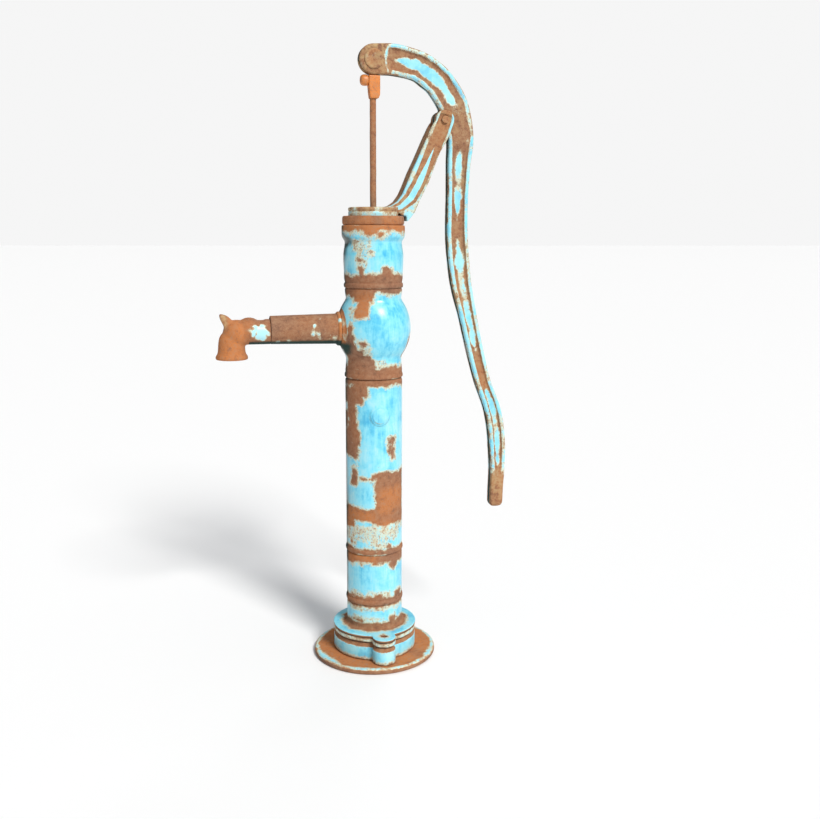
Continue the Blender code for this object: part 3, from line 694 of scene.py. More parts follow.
def beadAt(low, radius):
    # The raised band: a round ridge, undercut below and with a slight groove above
    middle = low + column["beadHeight"] / 2
    half = column["beadHeight"] / 2
    proud = radius + 0.0006 - column["outer"] + 0.0008
    points = []
    for angle in range(-80, 81, 20):
        turn = math.radians(angle)
        out = column["outer"] - 0.0008 + proud * math.cos(turn) ** 0.7
        points.append((out, middle + half * math.sin(turn)))
    above = low + column["beadHeight"]
    groove = [(column["outer"] - 0.0009, above + 0.001), (column["outer"] - 0.0006, above + 0.0025)]
    return [(radius - 0.0022, low)] + points + groove + [(column["outer"], above + 0.0045)]


def topLip(high):
    # The section below ends in a slight waist, which shades the joint
    wall = column["outer"]
    steps = ((0.0, 0.006), (0.0005, 0.0035), (0.002, 0.0012), (0.003, 0.0))
    return [(wall - inward, high - down) for inward, down in steps]


def bulbPoints(offset, half, steps):
    points = []
    for step in range(steps + 1):
        rise = half * (2.0 * step / steps - 1.0)
        points.append((offset + math.sqrt(bulb["arc"] ** 2 - rise**2), bulb["z"] + rise))
    return points


lowerColumnWear = {
    "rust": [
        (0, 0.215, 180, 0.0095), (28, 0.203, 9, 0.007), (-5, 0.2055, 14, 0.004),
        (0, 0.1235, 180, 0.0095), (-6, 0.134, 9, 0.006), (44, 0.136, 12, 0.006), (-60, 0.132, 14, 0.003),
    ],
    "cream": [(-45, 0.205, 28, 0.006), (5, 0.14, 30, 0.004)],
    "orange": [(-45, 0.22, 30, 0.008)],
}
columnTubeWear = {
    "rust": [
        (0, 0.5745, 180, 0.0095), (-42, 0.557, 20, 0.013), (-64, 0.52, 14, 0.036), (-72, 0.468, 22, 0.045),
        (-53, 0.455, 9, 0.022), (-60, 0.545, 24, 0.014), (20, 0.568, 12, 0.004),
        (26, 0.4475, 10, 0.015), (27, 0.43, 6, 0.014),
        (29, 0.34, 38, 0.0535), (-9, 0.387, 9, 0.006), (-27, 0.381, 13, 0.0022), (-57, 0.381, 7, 0.016),
        (-44, 0.307, 46, 0.0135), (-76, 0.298, 20, 0.02), (-6, 0.3, 12, 0.01),
        (0, 0.2285, 180, 0.0065), (15, 0.24, 10, 0.003), (-60, 0.247, 8, 0.003),
    ],
    "cream": [
        (-20, 0.268, 66, 0.016), (34, 0.281, 34, 0.007), (-5, 0.246, 20, 0.005), (-62, 0.4, 10, 0.004),
    ],
    "orange": [(-52, 0.3, 30, 0.01), (-30, 0.268, 50, 0.014), (30, 0.335, 26, 0.014)],
}
spoutBodyWear = {
    "rust": [
        (0, 0.7535, 180, 0.0085), (-33, 0.739, 23, 0.013), (-31, 0.72, 13, 0.019), (-55, 0.744, 12, 0.006),
        (-61, 0.632, 17, 0.036), (-53, 0.668, 6, 0.015), (-31, 0.6505, 7, 0.0055), (-46, 0.624, 16, 0.012),
        (-44, 0.612, 27, 0.016), (-22, 0.609, 14, 0.01), (-18, 0.6035, 12, 0.004),
        (0, 0.588, 180, 0.0125), (34, 0.601, 12, 0.003),
    ],
    "cream": [
        (-12, 0.612, 22, 0.005), (-30, 0.63, 14, 0.01), (-48, 0.712, 10, 0.009),
        (24, 0.606, 30, 0.003), (8, 0.745, 14, 0.003),
    ],
    "orange": [(-30, 0.72, 16, 0.02), (-70, 0.69, 12, 0.01)],
}
headBarrelWear = {
    "rust": [
        (0, 0.7655, 180, 0.0135), (-38, 0.787, 6, 0.01), (-37, 0.8065, 6.5, 0.0055), (15, 0.784, 6.5, 0.009),
        (-22, 0.777, 30, 0.004), (0, 0.869, 180, 0.0065), (3, 0.856, 8, 0.0075), (-16, 0.86, 12, 0.003),
        (30, 0.864, 12, 0.002),
    ],
    "cream": [
        (-36, 0.834, 18, 0.009), (-26, 0.82, 15, 0.008), (-12, 0.8585, 34, 0.002),
        (0, 0.779, 180, 0.003),
    ],
    "orange": [(0, 0.869, 180, 0.006)],
}
columnFootWear = {
    "rust": [
        (0, 0.115, 180, 0.003), (0, 0.07, 180, 0.011), (28, 0.085, 9, 0.008),
        (-50, 0.083, 16, 0.005),
    ],
    "cream": [(-12, 0.088, 20, 0.004), (0, 0.108, 180, 0.002)],
    "flangeRust": 0.0655, "flangeLobes": 0.007, "edgeHigh": 0.0648,
}


# The head barrel's radius at heights above its foot
barrelProfile = [
    (0.0571, 0.018), (0.0576, 0.034), (0.0584, 0.05), (0.0584, 0.063), (0.0577, 0.069), (0.0563, 0.077),
    (0.0554, 0.0845), (0.0558, 0.0885), (0.0585, 0.093), (0.0606, 0.0965), (0.0613, 0.1005),
]


def makeColumn(paint):
    lowerLow, tubeLow = lowOf("lower_column"), lowOf("column_tube")
    bodyLow, headLow = lowOf("spout_body"), lowOf("head_barrel")
    wall = column["outer"]

    high = tubeLow - gap
    loop = sectionLoop(beadAt(lowerLow, column["bead"]) + topLip(high), lowerLow, high)
    piece = turnedPiece(
        "lowerColumn", loop, paint, "stand", ["lower_column"],
        keepR=column["fineFrom"], ease=0.0004,
    )
    zones = lowerColumnWear["rust"] + strewn(3, 3, lowerLow + 0.02, high - 0.02)
    paintWearAndShade(piece, columnWear, zones, lowerColumnWear["cream"], lowerColumnWear["orange"])

    high = bodyLow - gap
    bm = bmesh.new()
    loop = sectionLoop(beadAt(tubeLow, column["bead"]) + topLip(high), tubeLow, high)
    spinLoop(bm, splitRuns(eased(loop, 0.0004), 0.003, column["fineFrom"]), 160, upright())
    bossZ = (lowOf("boss_plug") + highOf("boss_plug")) / 2
    raiseBoss(bm, bossZ)
    piece = newPiece("columnTube", bm, paint, "stand", ["column_tube"])
    zones = columnTubeWear["rust"] + strewn(11, 9, tubeLow + 0.02, high - 0.02)
    paintWearAndShade(piece, tubeWearAt, zones, bossZ)

    high = headLow - gap
    outer = beadAt(bodyLow, column["upperBead"])
    outer += [
        (0.0558, bodyLow + 0.018), (0.055, bodyLow + 0.03), (0.0546, bulb["z"] - bulb["half"] - 0.004),
    ]
    outer += bulbPoints(bulb["offset"], bulb["half"] - 0.003, 36)
    outer += [
        (0.0542, bulb["z"] + bulb["half"] + 0.002), (0.0547, 0.737), (0.0558, 0.745),
        (0.056, high - 0.003), (0.0546, high),
    ]
    inner = bulbPoints(bulb["offset"] - bulb["wall"], 0.043, 10)
    bore = [(column["bore"], 0.725)] + inner[::-1] + [(column["bore"], 0.625)]
    start = bmesh.new()
    spinLoop(start, eased(sectionLoop(outer, bodyLow, high, bore), 0.0005), 128, upright())
    socket = spoutRoot["socket"]
    at = (axisX, 0, spoutRoot["z"])
    cone = spunMesh([(0.0, 0.05), *socket, (0.0, socket[-1][1])], towards((-1, 0, 0), at))
    hole = barMesh(spoutRoot["bore"], 0.03, 0.095, towards((-1, 0, 0), at))
    done = cast(start, [cone], [hole], voxel=0.0016, smoothing=3)
    piece = newPiece("spoutBody", done, paint, "stand", ["spout_body"])
    zones = spoutBodyWear["rust"] + strewn(8, 6, bodyLow + 0.03, high - 0.02)
    paintWearAndShade(piece, spoutBodyWearAt, zones)

    top = highOf("head_barrel")
    shelf = top - 0.0067
    outer = beadAt(headLow, column["upperBead"]) + [
        *[(r, headLow + rise) for r, rise in barrelProfile],
        (0.0613, shelf - 0.003), (0.0606, shelf - 0.0006), (0.0595, shelf),
        (0.0535, shelf), (0.0535, top), (wall - 0.0065, top),
    ]
    loop = sectionLoop(outer, headLow, top, spigot=False)
    piece = turnedPiece(
        "headBarrel", loop, paint, "stand", ["head_barrel"],
        steps=160, longest=0.003, keepR=column["fineFrom"], ease=0.0006,
    )
    zones = headBarrelWear["rust"] + strewn(21, 4, headLow + 0.03, shelf - 0.01)
    paintWearAndShade(piece, barrelWearAt, zones)
    print("column made")


def barrelWearAt(spots, zones):
    rust, orange, pale, paintFilmAndShade = columnWear(spots, zones, headBarrelWear["cream"], headBarrelWear["orange"])
    # The painted shade is broadest in the waist under the head flange, which the flange shades
    waist = clip(1.3 - np.abs(spots.z - 0.845) / 0.012)
    waist = waist * clip((-48 - spots.angle) / 16) * clip((spots.angle + 140) / 20)
    return rust, orange, pale, clip(paintFilmAndShade + waist * 0.8)


def tubeWearAt(spots, zones, bossZ):
    # Rust creeps out of the crevice round the boss, most of all beneath it; the crevice's lower half also gets
    # painted shade
    rust, orange, pale, paintFilmAndShade = columnWear(spots, zones, columnTubeWear["cream"], columnTubeWear["orange"])
    away = np.hypot(spots.x, spots.z - bossZ)
    under = clip((bossZ - spots.z) / 0.012 + 0.5)
    ring = clip(1 - np.abs(away - 0.0192) / 0.003) * (spots.y < -0.045)
    # Painted shade in the crevice under the boss
    paintFilmAndShade = np.maximum(paintFilmAndShade, ring * under * 0.55)
    return np.maximum(rust, ring * (0.1 + 0.25 * under)), orange, pale, paintFilmAndShade


def raiseBoss(bm, bossZ):
    # A round boss is swelled out of the tube's own wall on its front
    reach, front = 0.0175, -0.0579
    for vertex in bm.verts:
        x, y, z = vertex.co.x - axisX, vertex.co.y, vertex.co.z
        if y > -0.045 or math.hypot(x, y) < 0.0545:
            continue
        away = math.hypot(x, z - bossZ)
        if away < reach + 0.003:
            share = clamp((reach + 0.003 - away) / 0.003)
            share = share * share * (3 - 2 * share)
            vertex.co.y = y + (front - y) * share


def spoutBodyWearAt(spots, zones):
    # The socket at the spout's root is orange at its end and cream above; the wall below it gets painted shade,
    # dark green
    rust, orange, pale, paintFilmAndShade = columnWear(spots, zones, spoutBodyWear["cream"], spoutBodyWear["orange"])
    away = np.hypot(spots.y, spots.z - spoutRoot["z"])
    waves = spots.wave(55, 2.0)
    end = clip((-0.0585 - spots.x + 0.002 * waves) / 0.002) * (away < 0.04)
    ring = clip(1.0 - np.abs(away - 0.038) / 0.008) * (spots.x < -0.042) * (spots.z > spoutRoot["z"] - 0.02)
    rust = np.maximum(rust * (1 - 0.4 * ring), (0.4 + 0.25 * waves) * ring)
    rust = rust * (1 - end) + end * (0.62 + 0.3 * waves)
    orange = orange * (1 - end) + end * 0.9
    # Painted shade on the wall under the spout
    below = clip((spoutRoot["z"] - 0.018 - spots.z) / 0.012) * clip((-0.043 - spots.x) / 0.016) * 0.9
    below *= clip((spots.z - spoutRoot["z"] + 0.062) / 0.015)
    return rust, orange, pale, np.maximum(paintFilmAndShade, below)


foot = {
    "flange": 0.085, "casting": 0.084, "recess": 0.0805, "ear": 0.023, "earY": 0.09, "recessEar": 0.02,
    "studHole": 0.0062, "bore": 0.02, "valveBore": 0.018, "shelf": 0.041, "flangeTop": 0.066,
}


def earedOutline(radius, ear):
    # A round plate with an ear at its front and its back, and a small fillet where they meet
    earY = foot["earY"]
    meetY = (radius**2 - ear**2 + earY**2) / (2.0 * earY)
    plateAngle = math.degrees(math.asin(meetY / radius))
    earAngle = math.degrees(math.asin((meetY - earY) / ear))
    outline = arc((0, 0), radius, -plateAngle + 1.5, plateAngle - 1.5, 60)
    outline += arc((0, earY), ear, earAngle + 6, 174.0 - earAngle, 28)
    outline += arc((0, 0), radius, 181.5 - plateAngle, 178.5 + plateAngle, 60)
    outline += arc((0, -earY), ear, 186.0 + earAngle, 354.0 - earAngle, 28)
    return [(x + axisX, y) for x, y in outline]


def earedMesh(radius, ear, low, high):
    return slabMesh(bmesh.new(), earedOutline(radius, ear), low, high, "XY")


def studHoles(low, high):
    return [barMesh(foot["studHole"], low, high, upright(y=side * foot["earY"])) for side in (-1, 1)]


def footWear(spots):
    # Blue sides; rust under the lip, at the ground and in scattered spots
    ground, shelf = lowOf("foot_casting"), foot["shelf"]
    shift = spots.roughen(0.0045)
    rust = wearFrom(spots.z - ground - 0.003 + shift * 0.7)
    rust = np.maximum(rust, wearFrom(shelf - spots.z + 0.0012 + shift * 0.4) - 0.08)
    scattered = [(150, 0.03, 16, 0.006), (215, 0.02, 20, 0.008)]
    rust = np.maximum(rust, wearFrom(zoneDistance(spots, scattered) + shift))
    rust = np.where(spots.z > shelf - 0.0004, 0.85, rust)
    return rust, 0.35, 0.15


def valvePlateWear(spots):
    top, low = highOf("valve_plate"), lowOf("valve_plate")
    edge = np.minimum(top - spots.z, spots.z - low)
    rust = wearFrom(edge - 0.0008 + spots.roughen(0.003))
    rust = np.where(spots.radius < 0.078, 0.9, rust)
    return rust, 0.2, 0.45


def columnFootWearAt(spots):
    shift = spots.roughen(0.0045)
    facts = columnFootWear
    wall = wearFrom(zoneDistance(spots, facts["rust"]) + shift * 0.8)
    wall = np.maximum(wall, creamFrom(zoneDistance(spots, facts["cream"]) + shift))
    lobes = facts["flangeLobes"] * spots.lobes(2.2, 4.0)
    flange = wearFrom(spots.radius - facts["flangeRust"] - lobes + shift * 0.5)
    flange = np.where(spots.z < facts["edgeHigh"], 0.8, flange)
    earAway = np.hypot(spots.x, np.abs(spots.y) - foot["earY"])
    flange = np.maximum(flange, wearFrom(earAway - 0.0072 + shift * 0.3))
    return np.where(spots.radius < 0.0585, wall, flange), 0.27, 0.12


basePlateFacts = {"paintInner": 0.1165, "paintOuter": 0.1235, "pitting": 0.0006}


def basePlateWear(spots):
    # Orange rust on top, a rim with the last of the paint, brown sides
    facts = basePlateFacts
    rim = spots.lobes(1.7, 9.0)
    inner = facts["paintInner"] + 0.006 * rim
    distance = np.maximum(inner - spots.radius, spots.radius - facts["paintOuter"])
    side = spots.z < highOf("base_plate") - 0.0035
    rust = clip(0.5 + (distance + spots.roughen(0.006) * 0.6) / 0.03)
    orange = spots.mottle(0.95, 0.7, 22.0)
    pale = np.where(rust < 0.5, 0.5, 0.0)
    return np.where(side, 0.85, rust), np.where(side, 0.12 + 0.2 * rim, orange), np.where(side, 0.05, pale)


def makeFoot(paint, footPaint):
    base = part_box("base_plate")
    top, edge = base[1].z, (base[1].x - base[0].x) / 2
    loop = [
        (foot["bore"], 0.0), (edge - 0.003, 0.0), (edge - 0.0008, 0.0012), (edge, 0.0042),
        (edge - 0.0001, top - 0.0042), (edge - 0.0016, top - 0.001), (edge - 0.0042, top),
        (foot["bore"], top),
    ]
    start = bmesh.new()
    spinLoop(start, loop, 160, upright())
    done = cast(start, [], studHoles(0.003, 0.03), voxel=0.0018, smoothing=2)
    for vertex in done.verts:
        if vertex.co.z > top - 0.003:
            vertex.co.z -= basePlateFacts["pitting"] * clamp(noise.fractal(vertex.co * 30, 1.0, 2.0, 4) + 0.5)
    piece = newPiece("basePlate", done, footPaint, "stand", ["base_plate"])
    paintWearAndShade(piece, basePlateWear)

    low, shelf = lowOf("foot_casting"), foot["shelf"]
    start = earedMesh(foot["casting"], foot["ear"], low, shelf)
    lip = earedMesh(foot["recess"], foot["recessEar"], shelf - 0.004, highOf("foot_casting"))
    hole = barMesh(foot["bore"], -0.02, 0.08, upright())
    done = cast(start, [lip], studHoles(-0.01, 0.09) + [hole], voxel=0.0015, smoothing=3)
    piece = newPiece("footCasting", done, paint, "stand", ["foot_casting"])
    paintWearAndShade(piece, footWear)

    start = earedMesh(foot["casting"], foot["ear"], lowOf("valve_plate"), highOf("valve_plate"))
    hole = barMesh(foot["valveBore"], -0.02, 0.08, upright())
    done = cast(start, [], studHoles(-0.01, 0.09) + [hole], voxel=0.0014, smoothing=2)
    piece = newPiece("valvePlate", done, paint, "stand", ["valve_plate"])
    paintWearAndShade(piece, valvePlateWear)

    low, flangeTop = lowOf("column_foot"), foot["flangeTop"]
    high = lowOf("lower_column") - gap
    start = earedMesh(foot["flange"], foot["ear"], low, flangeTop)
    wall = column["outer"]
    spigot, spigotTop = column["spigot"], high + column["spigotHeight"]
    tube = [
        (0.0, low + 0.001), (wall + 0.004, low + 0.001), (wall + 0.004, flangeTop),
        (wall + 0.0012, flangeTop + 0.0014), (wall, flangeTop + 0.004), *topLip(high),
        (spigot, high), (spigot, spigotTop), (0.0, spigotTop),
    ]
    post = spunMesh(tube, upright(), 128)
    hole = barMesh(column["bore"], -0.02, 0.2, upright(), 96)
    done = cast(start, [post], studHoles(-0.01, 0.09) + [hole], voxel=0.0015, smoothing=2)
    piece = newPiece("columnFoot", done, paint, "stand", ["column_foot"])
    paintWearAndShade(piece, columnFootWearAt)
    print("foot made")


plugFacts = {"start": 0.0503, "seat": 0.0583, "head": 0.015, "shank": 0.009}


def makePlug(paint):
    facts = plugFacts
    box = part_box("boss_plug")
    at = (axisX, 0, (box[0].z + box[1].z) / 2)
    loop = [
        (0.0, facts["start"]), (facts["shank"], facts["start"]), (facts["shank"], facts["seat"]),
        (facts["head"], facts["seat"]), (0.0149, 0.0592), (0.014, 0.0599),
        (0.011, 0.0605), (0.006, 0.0609), (0.0, 0.061),
    ]
    piece = turnedPiece(
        "bossPlug", loop, paint, "stand", ["boss_plug"],
        matrix=towards((0, -1, 0), at), steps=64, ease=0.0004, longest=0.002,
    )

    def wearAt(spots):
        away = np.hypot(spots.x, spots.z - at[2])
        under = clip((at[2] - spots.z) / 0.015)
        rust = 0.12 + 0.5 * clip((away - 0.0115) / 0.004) * under + 0.1 * spots.wave(120)
        return clip(rust), 0.1, 0.1
    paintWearAndShade(piece, wearAt)


ringFacts = {"inner": 0.0538, "lip": 0.0489, "lipZ": 0.886}


def makeClampRing(rusty):
    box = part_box("clamp_ring")
    low, high = box[0].z, box[1].z
    outer = (box[1].x - box[0].x) / 2
    inner, lip, lipZ = ringFacts["inner"], ringFacts["lip"], ringFacts["lipZ"]
    loop = [
        (inner, low), (outer - 0.0026, low), (outer - 0.0012, low + 0.0012), (outer - 0.0002, low + 0.0035),
        (outer, low + 0.006), (outer - 0.0001, high - 0.004), (outer - 0.0008, high - 0.0014),
        (outer - 0.0026, high), (lip, high), (lip, lipZ), (inner, lipZ),
    ]
    piece = turnedPiece("clampRing", loop, rusty, "stand", ["clamp_ring"], longest=0.003, ease=0.0005)

    def wearAt(spots):
        waves = spots.wave(50)
        return clip(0.72 + 0.15 * waves), clip(0.55 + 0.6 * waves), 0.0
    paintWearAndShade(piece, wearAt)


spoutRoot = {
    "z": 0.6745, "bore": 0.0298,
    "socket": [
        (0.0385, 0.05), (0.0385, 0.056), (0.0368, 0.06), (0.035, 0.064), (0.0338, 0.0668),
        (0.0333, 0.0685),
    ],
}
pipeFacts = {"start": 0.0295, "end": 0.027, "bore": 0.0215}


def spoutWear(spots, rustBase, orangeBase, flakes):
    # Bare rust with a few flakes of cream paint left
    rust = rustBase + 0.1 * spots.wave(45)
    ragged = 0.8 + 0.8 * spots.wave(130, 2.0)
    for x, y, z, size, depth in flakes:
        rust -= depth * clip(1.3 - spots.near(x, y, z) / size) * ragged
    orange = clip(orangeBase + 0.3 * spots.wave(25))
    # The underside, short of the bend, gets painted shade, dark green
    paintFilmAndShade = clip((spoutRoot["z"] - 0.0165 - spots.z) / 0.007) * (spots.x > -0.245)
    return clip(rust), orange, clip(0.1 + 0.5 * (rust < 0.5)), paintFilmAndShade


pipeSpots = [
    (-0.119, -0.0262, 0.667, 0.012, 0.34), (-0.121, -0.025, 0.684, 0.005, 0.34),
    (-0.143, -0.027, 0.665, 0.006, 0.3),
    (-0.11, -0.019, 0.697, 0.005, 0.3), (-0.088, -0.0255, 0.659, 0.012, 0.3),
    (-0.172, -0.018, 0.651, 0.01, 0.3),
    (-0.101, -0.027, 0.671, 0.005, 0.32), (-0.108, -0.0245, 0.657, 0.006, 0.32),
    (-0.19, -0.018, 0.655, 0.009, 0.32),
    (-0.13, 0.0262, 0.68, 0.01, 0.38), (-0.18, 0.0262, 0.668, 0.008, 0.36),
    (-0.1, 0.01, 0.646, 0.015, 0.36),
]
nozzleSpots = [
    (-0.2235, -0.0225, 0.674, 0.0175, 0.62), (-0.219, -0.021, 0.663, 0.013, 0.34),
    (-0.238, -0.024, 0.674, 0.013, 0.34),
    (-0.215, 0.0225, 0.672, 0.014, 0.6), (-0.26, 0.024, 0.68, 0.008, 0.4),
    (-0.252, -0.026, 0.655, 0.006, 0.35),
]
nozzle = {
    "x": -0.277, "neckZ": 0.6708, "neckR": 0.0233,
    "mouth": [
        (0.0, 0.62), (0.0297, 0.62), (0.0304, 0.621), (0.0306, 0.624), (0.0298, 0.6268), (0.0278, 0.6295),
        (0.0264, 0.633), (0.0258, 0.638), (0.0254, 0.644), (0.0248, 0.65), (0.024, 0.656), (0.0225, 0.662),
        (0.019, 0.668), (0.013, 0.673), (0.0, 0.676),
    ],
    "hook": [
        (-0.2745, 0.67), (-0.2762, 0.686), (-0.2785, 0.6945), (-0.2827, 0.6995), (-0.2885, 0.704),
        (-0.2975, 0.7065),
        (-0.3006, 0.706), (-0.3004, 0.6985), (-0.2985, 0.692), (-0.2958, 0.685), (-0.2945, 0.676),
        (-0.2925, 0.666),
    ],
    "hookHalf": 0.0095,
}


def makeSpout(paint, rusty):
    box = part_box("spout_pipe")
    at = (axisX, 0, spoutRoot["z"])
    leftwards = towards((-1, 0, 0), at)
    start, end = axisX - box[1].x, axisX - box[0].x
    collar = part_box("spout_collar")
    shoulder = axisX - collar[0].x
    loop = [
        (pipeFacts["bore"], start), (pipeFacts["start"], start), (pipeFacts["start"], shoulder),
        (pipeFacts["end"] + 0.0001, end - 0.0008), (pipeFacts["end"] - 0.0005, end), (pipeFacts["bore"], end),
    ]
    piece = turnedPiece(
        "spoutPipe", loop, rusty, "stand", ["spout_pipe"], matrix=leftwards,
        steps=112, longest=0.0025, keepR=0.0255, ease=0.0004,
    )
    paintWearAndShade(piece, spoutWear, 0.74, 0.18, pipeSpots)

    inner, outer = spoutRoot["bore"] + 0.0001, (collar[1].z - collar[0].z) / 2
    low, high = axisX - collar[1].x, axisX - collar[0].x
    loop = [
        (inner, low), (outer, low), (outer, low + 0.002), (outer - 0.0006, low + 0.004),
        (outer - 0.0022, high - 0.0006), (outer - 0.0032, high), (inner, high),
    ]
    piece = turnedPiece(
        "spoutCollar", loop, rusty, "stand", ["spout_collar"],
        matrix=leftwards, steps=96, longest=0.0025, ease=0.0005,
    )
    paintWearAndShade(piece, spoutWear, 0.62, 0.85, [(-0.072, -0.025, 0.693, 0.006, 0.3)])

    tip = axisX - highOfX("spout_nozzle")
    neckAt = towards((-1, 0, 0), (axisX, 0, nozzle["neckZ"]))
    start = barMesh(nozzle["neckR"], end + gap / 3, 0.262, neckAt, 64)
    spigot = barMesh(pipeFacts["bore"] - gap, tip, end + 0.01, leftwards, 64)
    hump = ballMesh((axisX - 0.243, 0, 0.6735), 0.026)
    elbow = ballMesh((axisX - 0.266, 0, 0.6685), 0.027)
    mouth = spunMesh(nozzle["mouth"], upright(axisX + nozzle["x"]), 96)
    outline = [(x + axisX, z) for x, z in smoothOutline(nozzle["hook"], 4)]
    hook = slabMesh(bmesh.new(), outline, -nozzle["hookHalf"], nozzle["hookHalf"])
    for vertex in hook.verts:
        # The hook curls round the mouth: it is wide below and thins to a lip above
        rise = clamp((vertex.co.z - 0.672) / 0.034)
        vertex.co.y *= 1.35 - 0.55 * rise
        vertex.co.x += 0.0035 * (vertex.co.y / nozzle["hookHalf"]) ** 2
    neckBore = barMesh(0.018, 0.18, 0.2701, towards((-1, 0, 0), (axisX, 0, nozzle["neckZ"] + 0.001)))
    corner = ballMesh((axisX - 0.2705, 0, nozzle["neckZ"] - 0.001), 0.0187)
    mouthBore = barMesh(0.02, 0.6, 0.6655, upright(axisX + nozzle["x"] + 0.001))
    added, removed = [spigot, hump, elbow, mouth, hook], [neckBore, corner, mouthBore]
    done = cast(start, added, removed, voxel=0.0012, smoothing=2)
    # The bend is worn smoother than the rest
    bend = [vertex for vertex in done.verts if vertex.co.z > 0.638 and vertex.co.x < axisX - 0.213]
    smoothed(done, bend, 14)
    piece = newPiece("spoutNozzle", done, paint, "stand", ["spout_nozzle"])
    paintWearAndShade(piece, nozzleWearAt)
    print("spout made")


def highOfX(node):
    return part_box(node)[1].x


def nozzleWearAt(spots):
    # The neck keeps a pale patch of paint; the mouth is orange and the hook tan
    neck = clip((spots.x + 0.262) / 0.03)
    # The underside's painted shade comes from the pipe's map
    rust, _, _, paintFilmAndShade = spoutWear(spots, 0.76, 0.5, nozzleSpots)
    orange = clip(0.95 - 0.65 * neck + 0.25 * spots.wave(40))
    hook = clip((-0.281 - spots.x) / 0.006) * clip((spots.z - 0.674) / 0.01)
    rust = np.where(rust < 0.5, np.maximum(rust, 0.22) * 0.8 + 0.08, rust)
    return rust, orange * (1 - 0.6 * hook), clip((rust < 0.5) + hook * 0.9), paintFilmAndShade


lever = {
    "line": [
        (0.000, 1.178, 0.055), (0.04, 1.1788, 0.056), (0.085, 1.17, 0.0545), (0.109, 1.157, 0.056),
        (0.131, 1.139, 0.056), (0.157, 1.1, 0.057), (0.172, 1.043, 0.052), (0.1697, 0.99, 0.046),
        (0.168, 0.93, 0.0415), (0.1677, 0.86, 0.042), (0.172, 0.806, 0.042), (0.1787, 0.756, 0.04),
        (0.192, 0.699, 0.035), (0.204, 0.647, 0.033), (0.2155, 0.601, 0.032), (0.228, 0.557, 0.031),
        (0.243, 0.519, 0.032), (0.252, 0.49, 0.033), (0.258, 0.455, 0.0335), (0.261, 0.42, 0.033),
        (0.262, 0.375, 0.03), (0.2605, 0.333, 0.0285), (0.26, 0.305, 0.028),
    ],
    "painted": [(1.0, 5.35), (6.3, 8.8), (9.2, 13.7), (15.2, 20.0)],
    "half": 0.0125, "recess": 0.0048, "rim": 0.0075, "eye": 0.0275, "lug": 0.018, "slotHalf": 0.0054,
    "chamber": 0.019,
    "stations": 9, "endReach": 0.0115,
}


pinHoles = {"eye": 0.0073, "fulcrum": 0.006}


def hollowAt(x, z):
    # How deep the sides are hollowed: not at the eye, the fulcrum and the grip
    if x < 0.06 and z > 1.1:
        return clamp((x - 0.0225) / 0.012)
    upper = clamp((z - 1.095) / 0.03)
    lower = clamp((1.03 - z) / 0.02) * clamp((z - 0.38) / 0.02)
    return max(upper, lower)


def leverSection(width, hollow):
    # Half a section, from the middle of the near face to the middle of the far one
    half, thick = width / 2, lever["half"]
    rim = min(lever["rim"], half * 0.45)
    depth = lever["recess"] * hollow
    slope = 0.0026
    crown = 0.0008 * (1 - hollow)
    near = [
        (0.0, -thick + depth - crown), ((half - rim - slope) * 0.55, -thick + depth - crown * 0.8),
        (half - rim - slope, -thick + depth - crown * 0.3),
        (half - rim - slope * 0.7, -thick + depth * 0.9),
        (half - rim - slope * 0.3, -thick + depth * 0.16), (half - rim, -thick),
        (half - rim * 0.55, -thick), (half - 0.003, -thick + 0.0002), (half - 0.0012, -thick + 0.0009),
        (half - 0.0002, -thick + 0.0026), (half, -thick + 0.006), (half, 0.0),
    ]
    return near + [(u, -y) for u, y in near[-2::-1]]


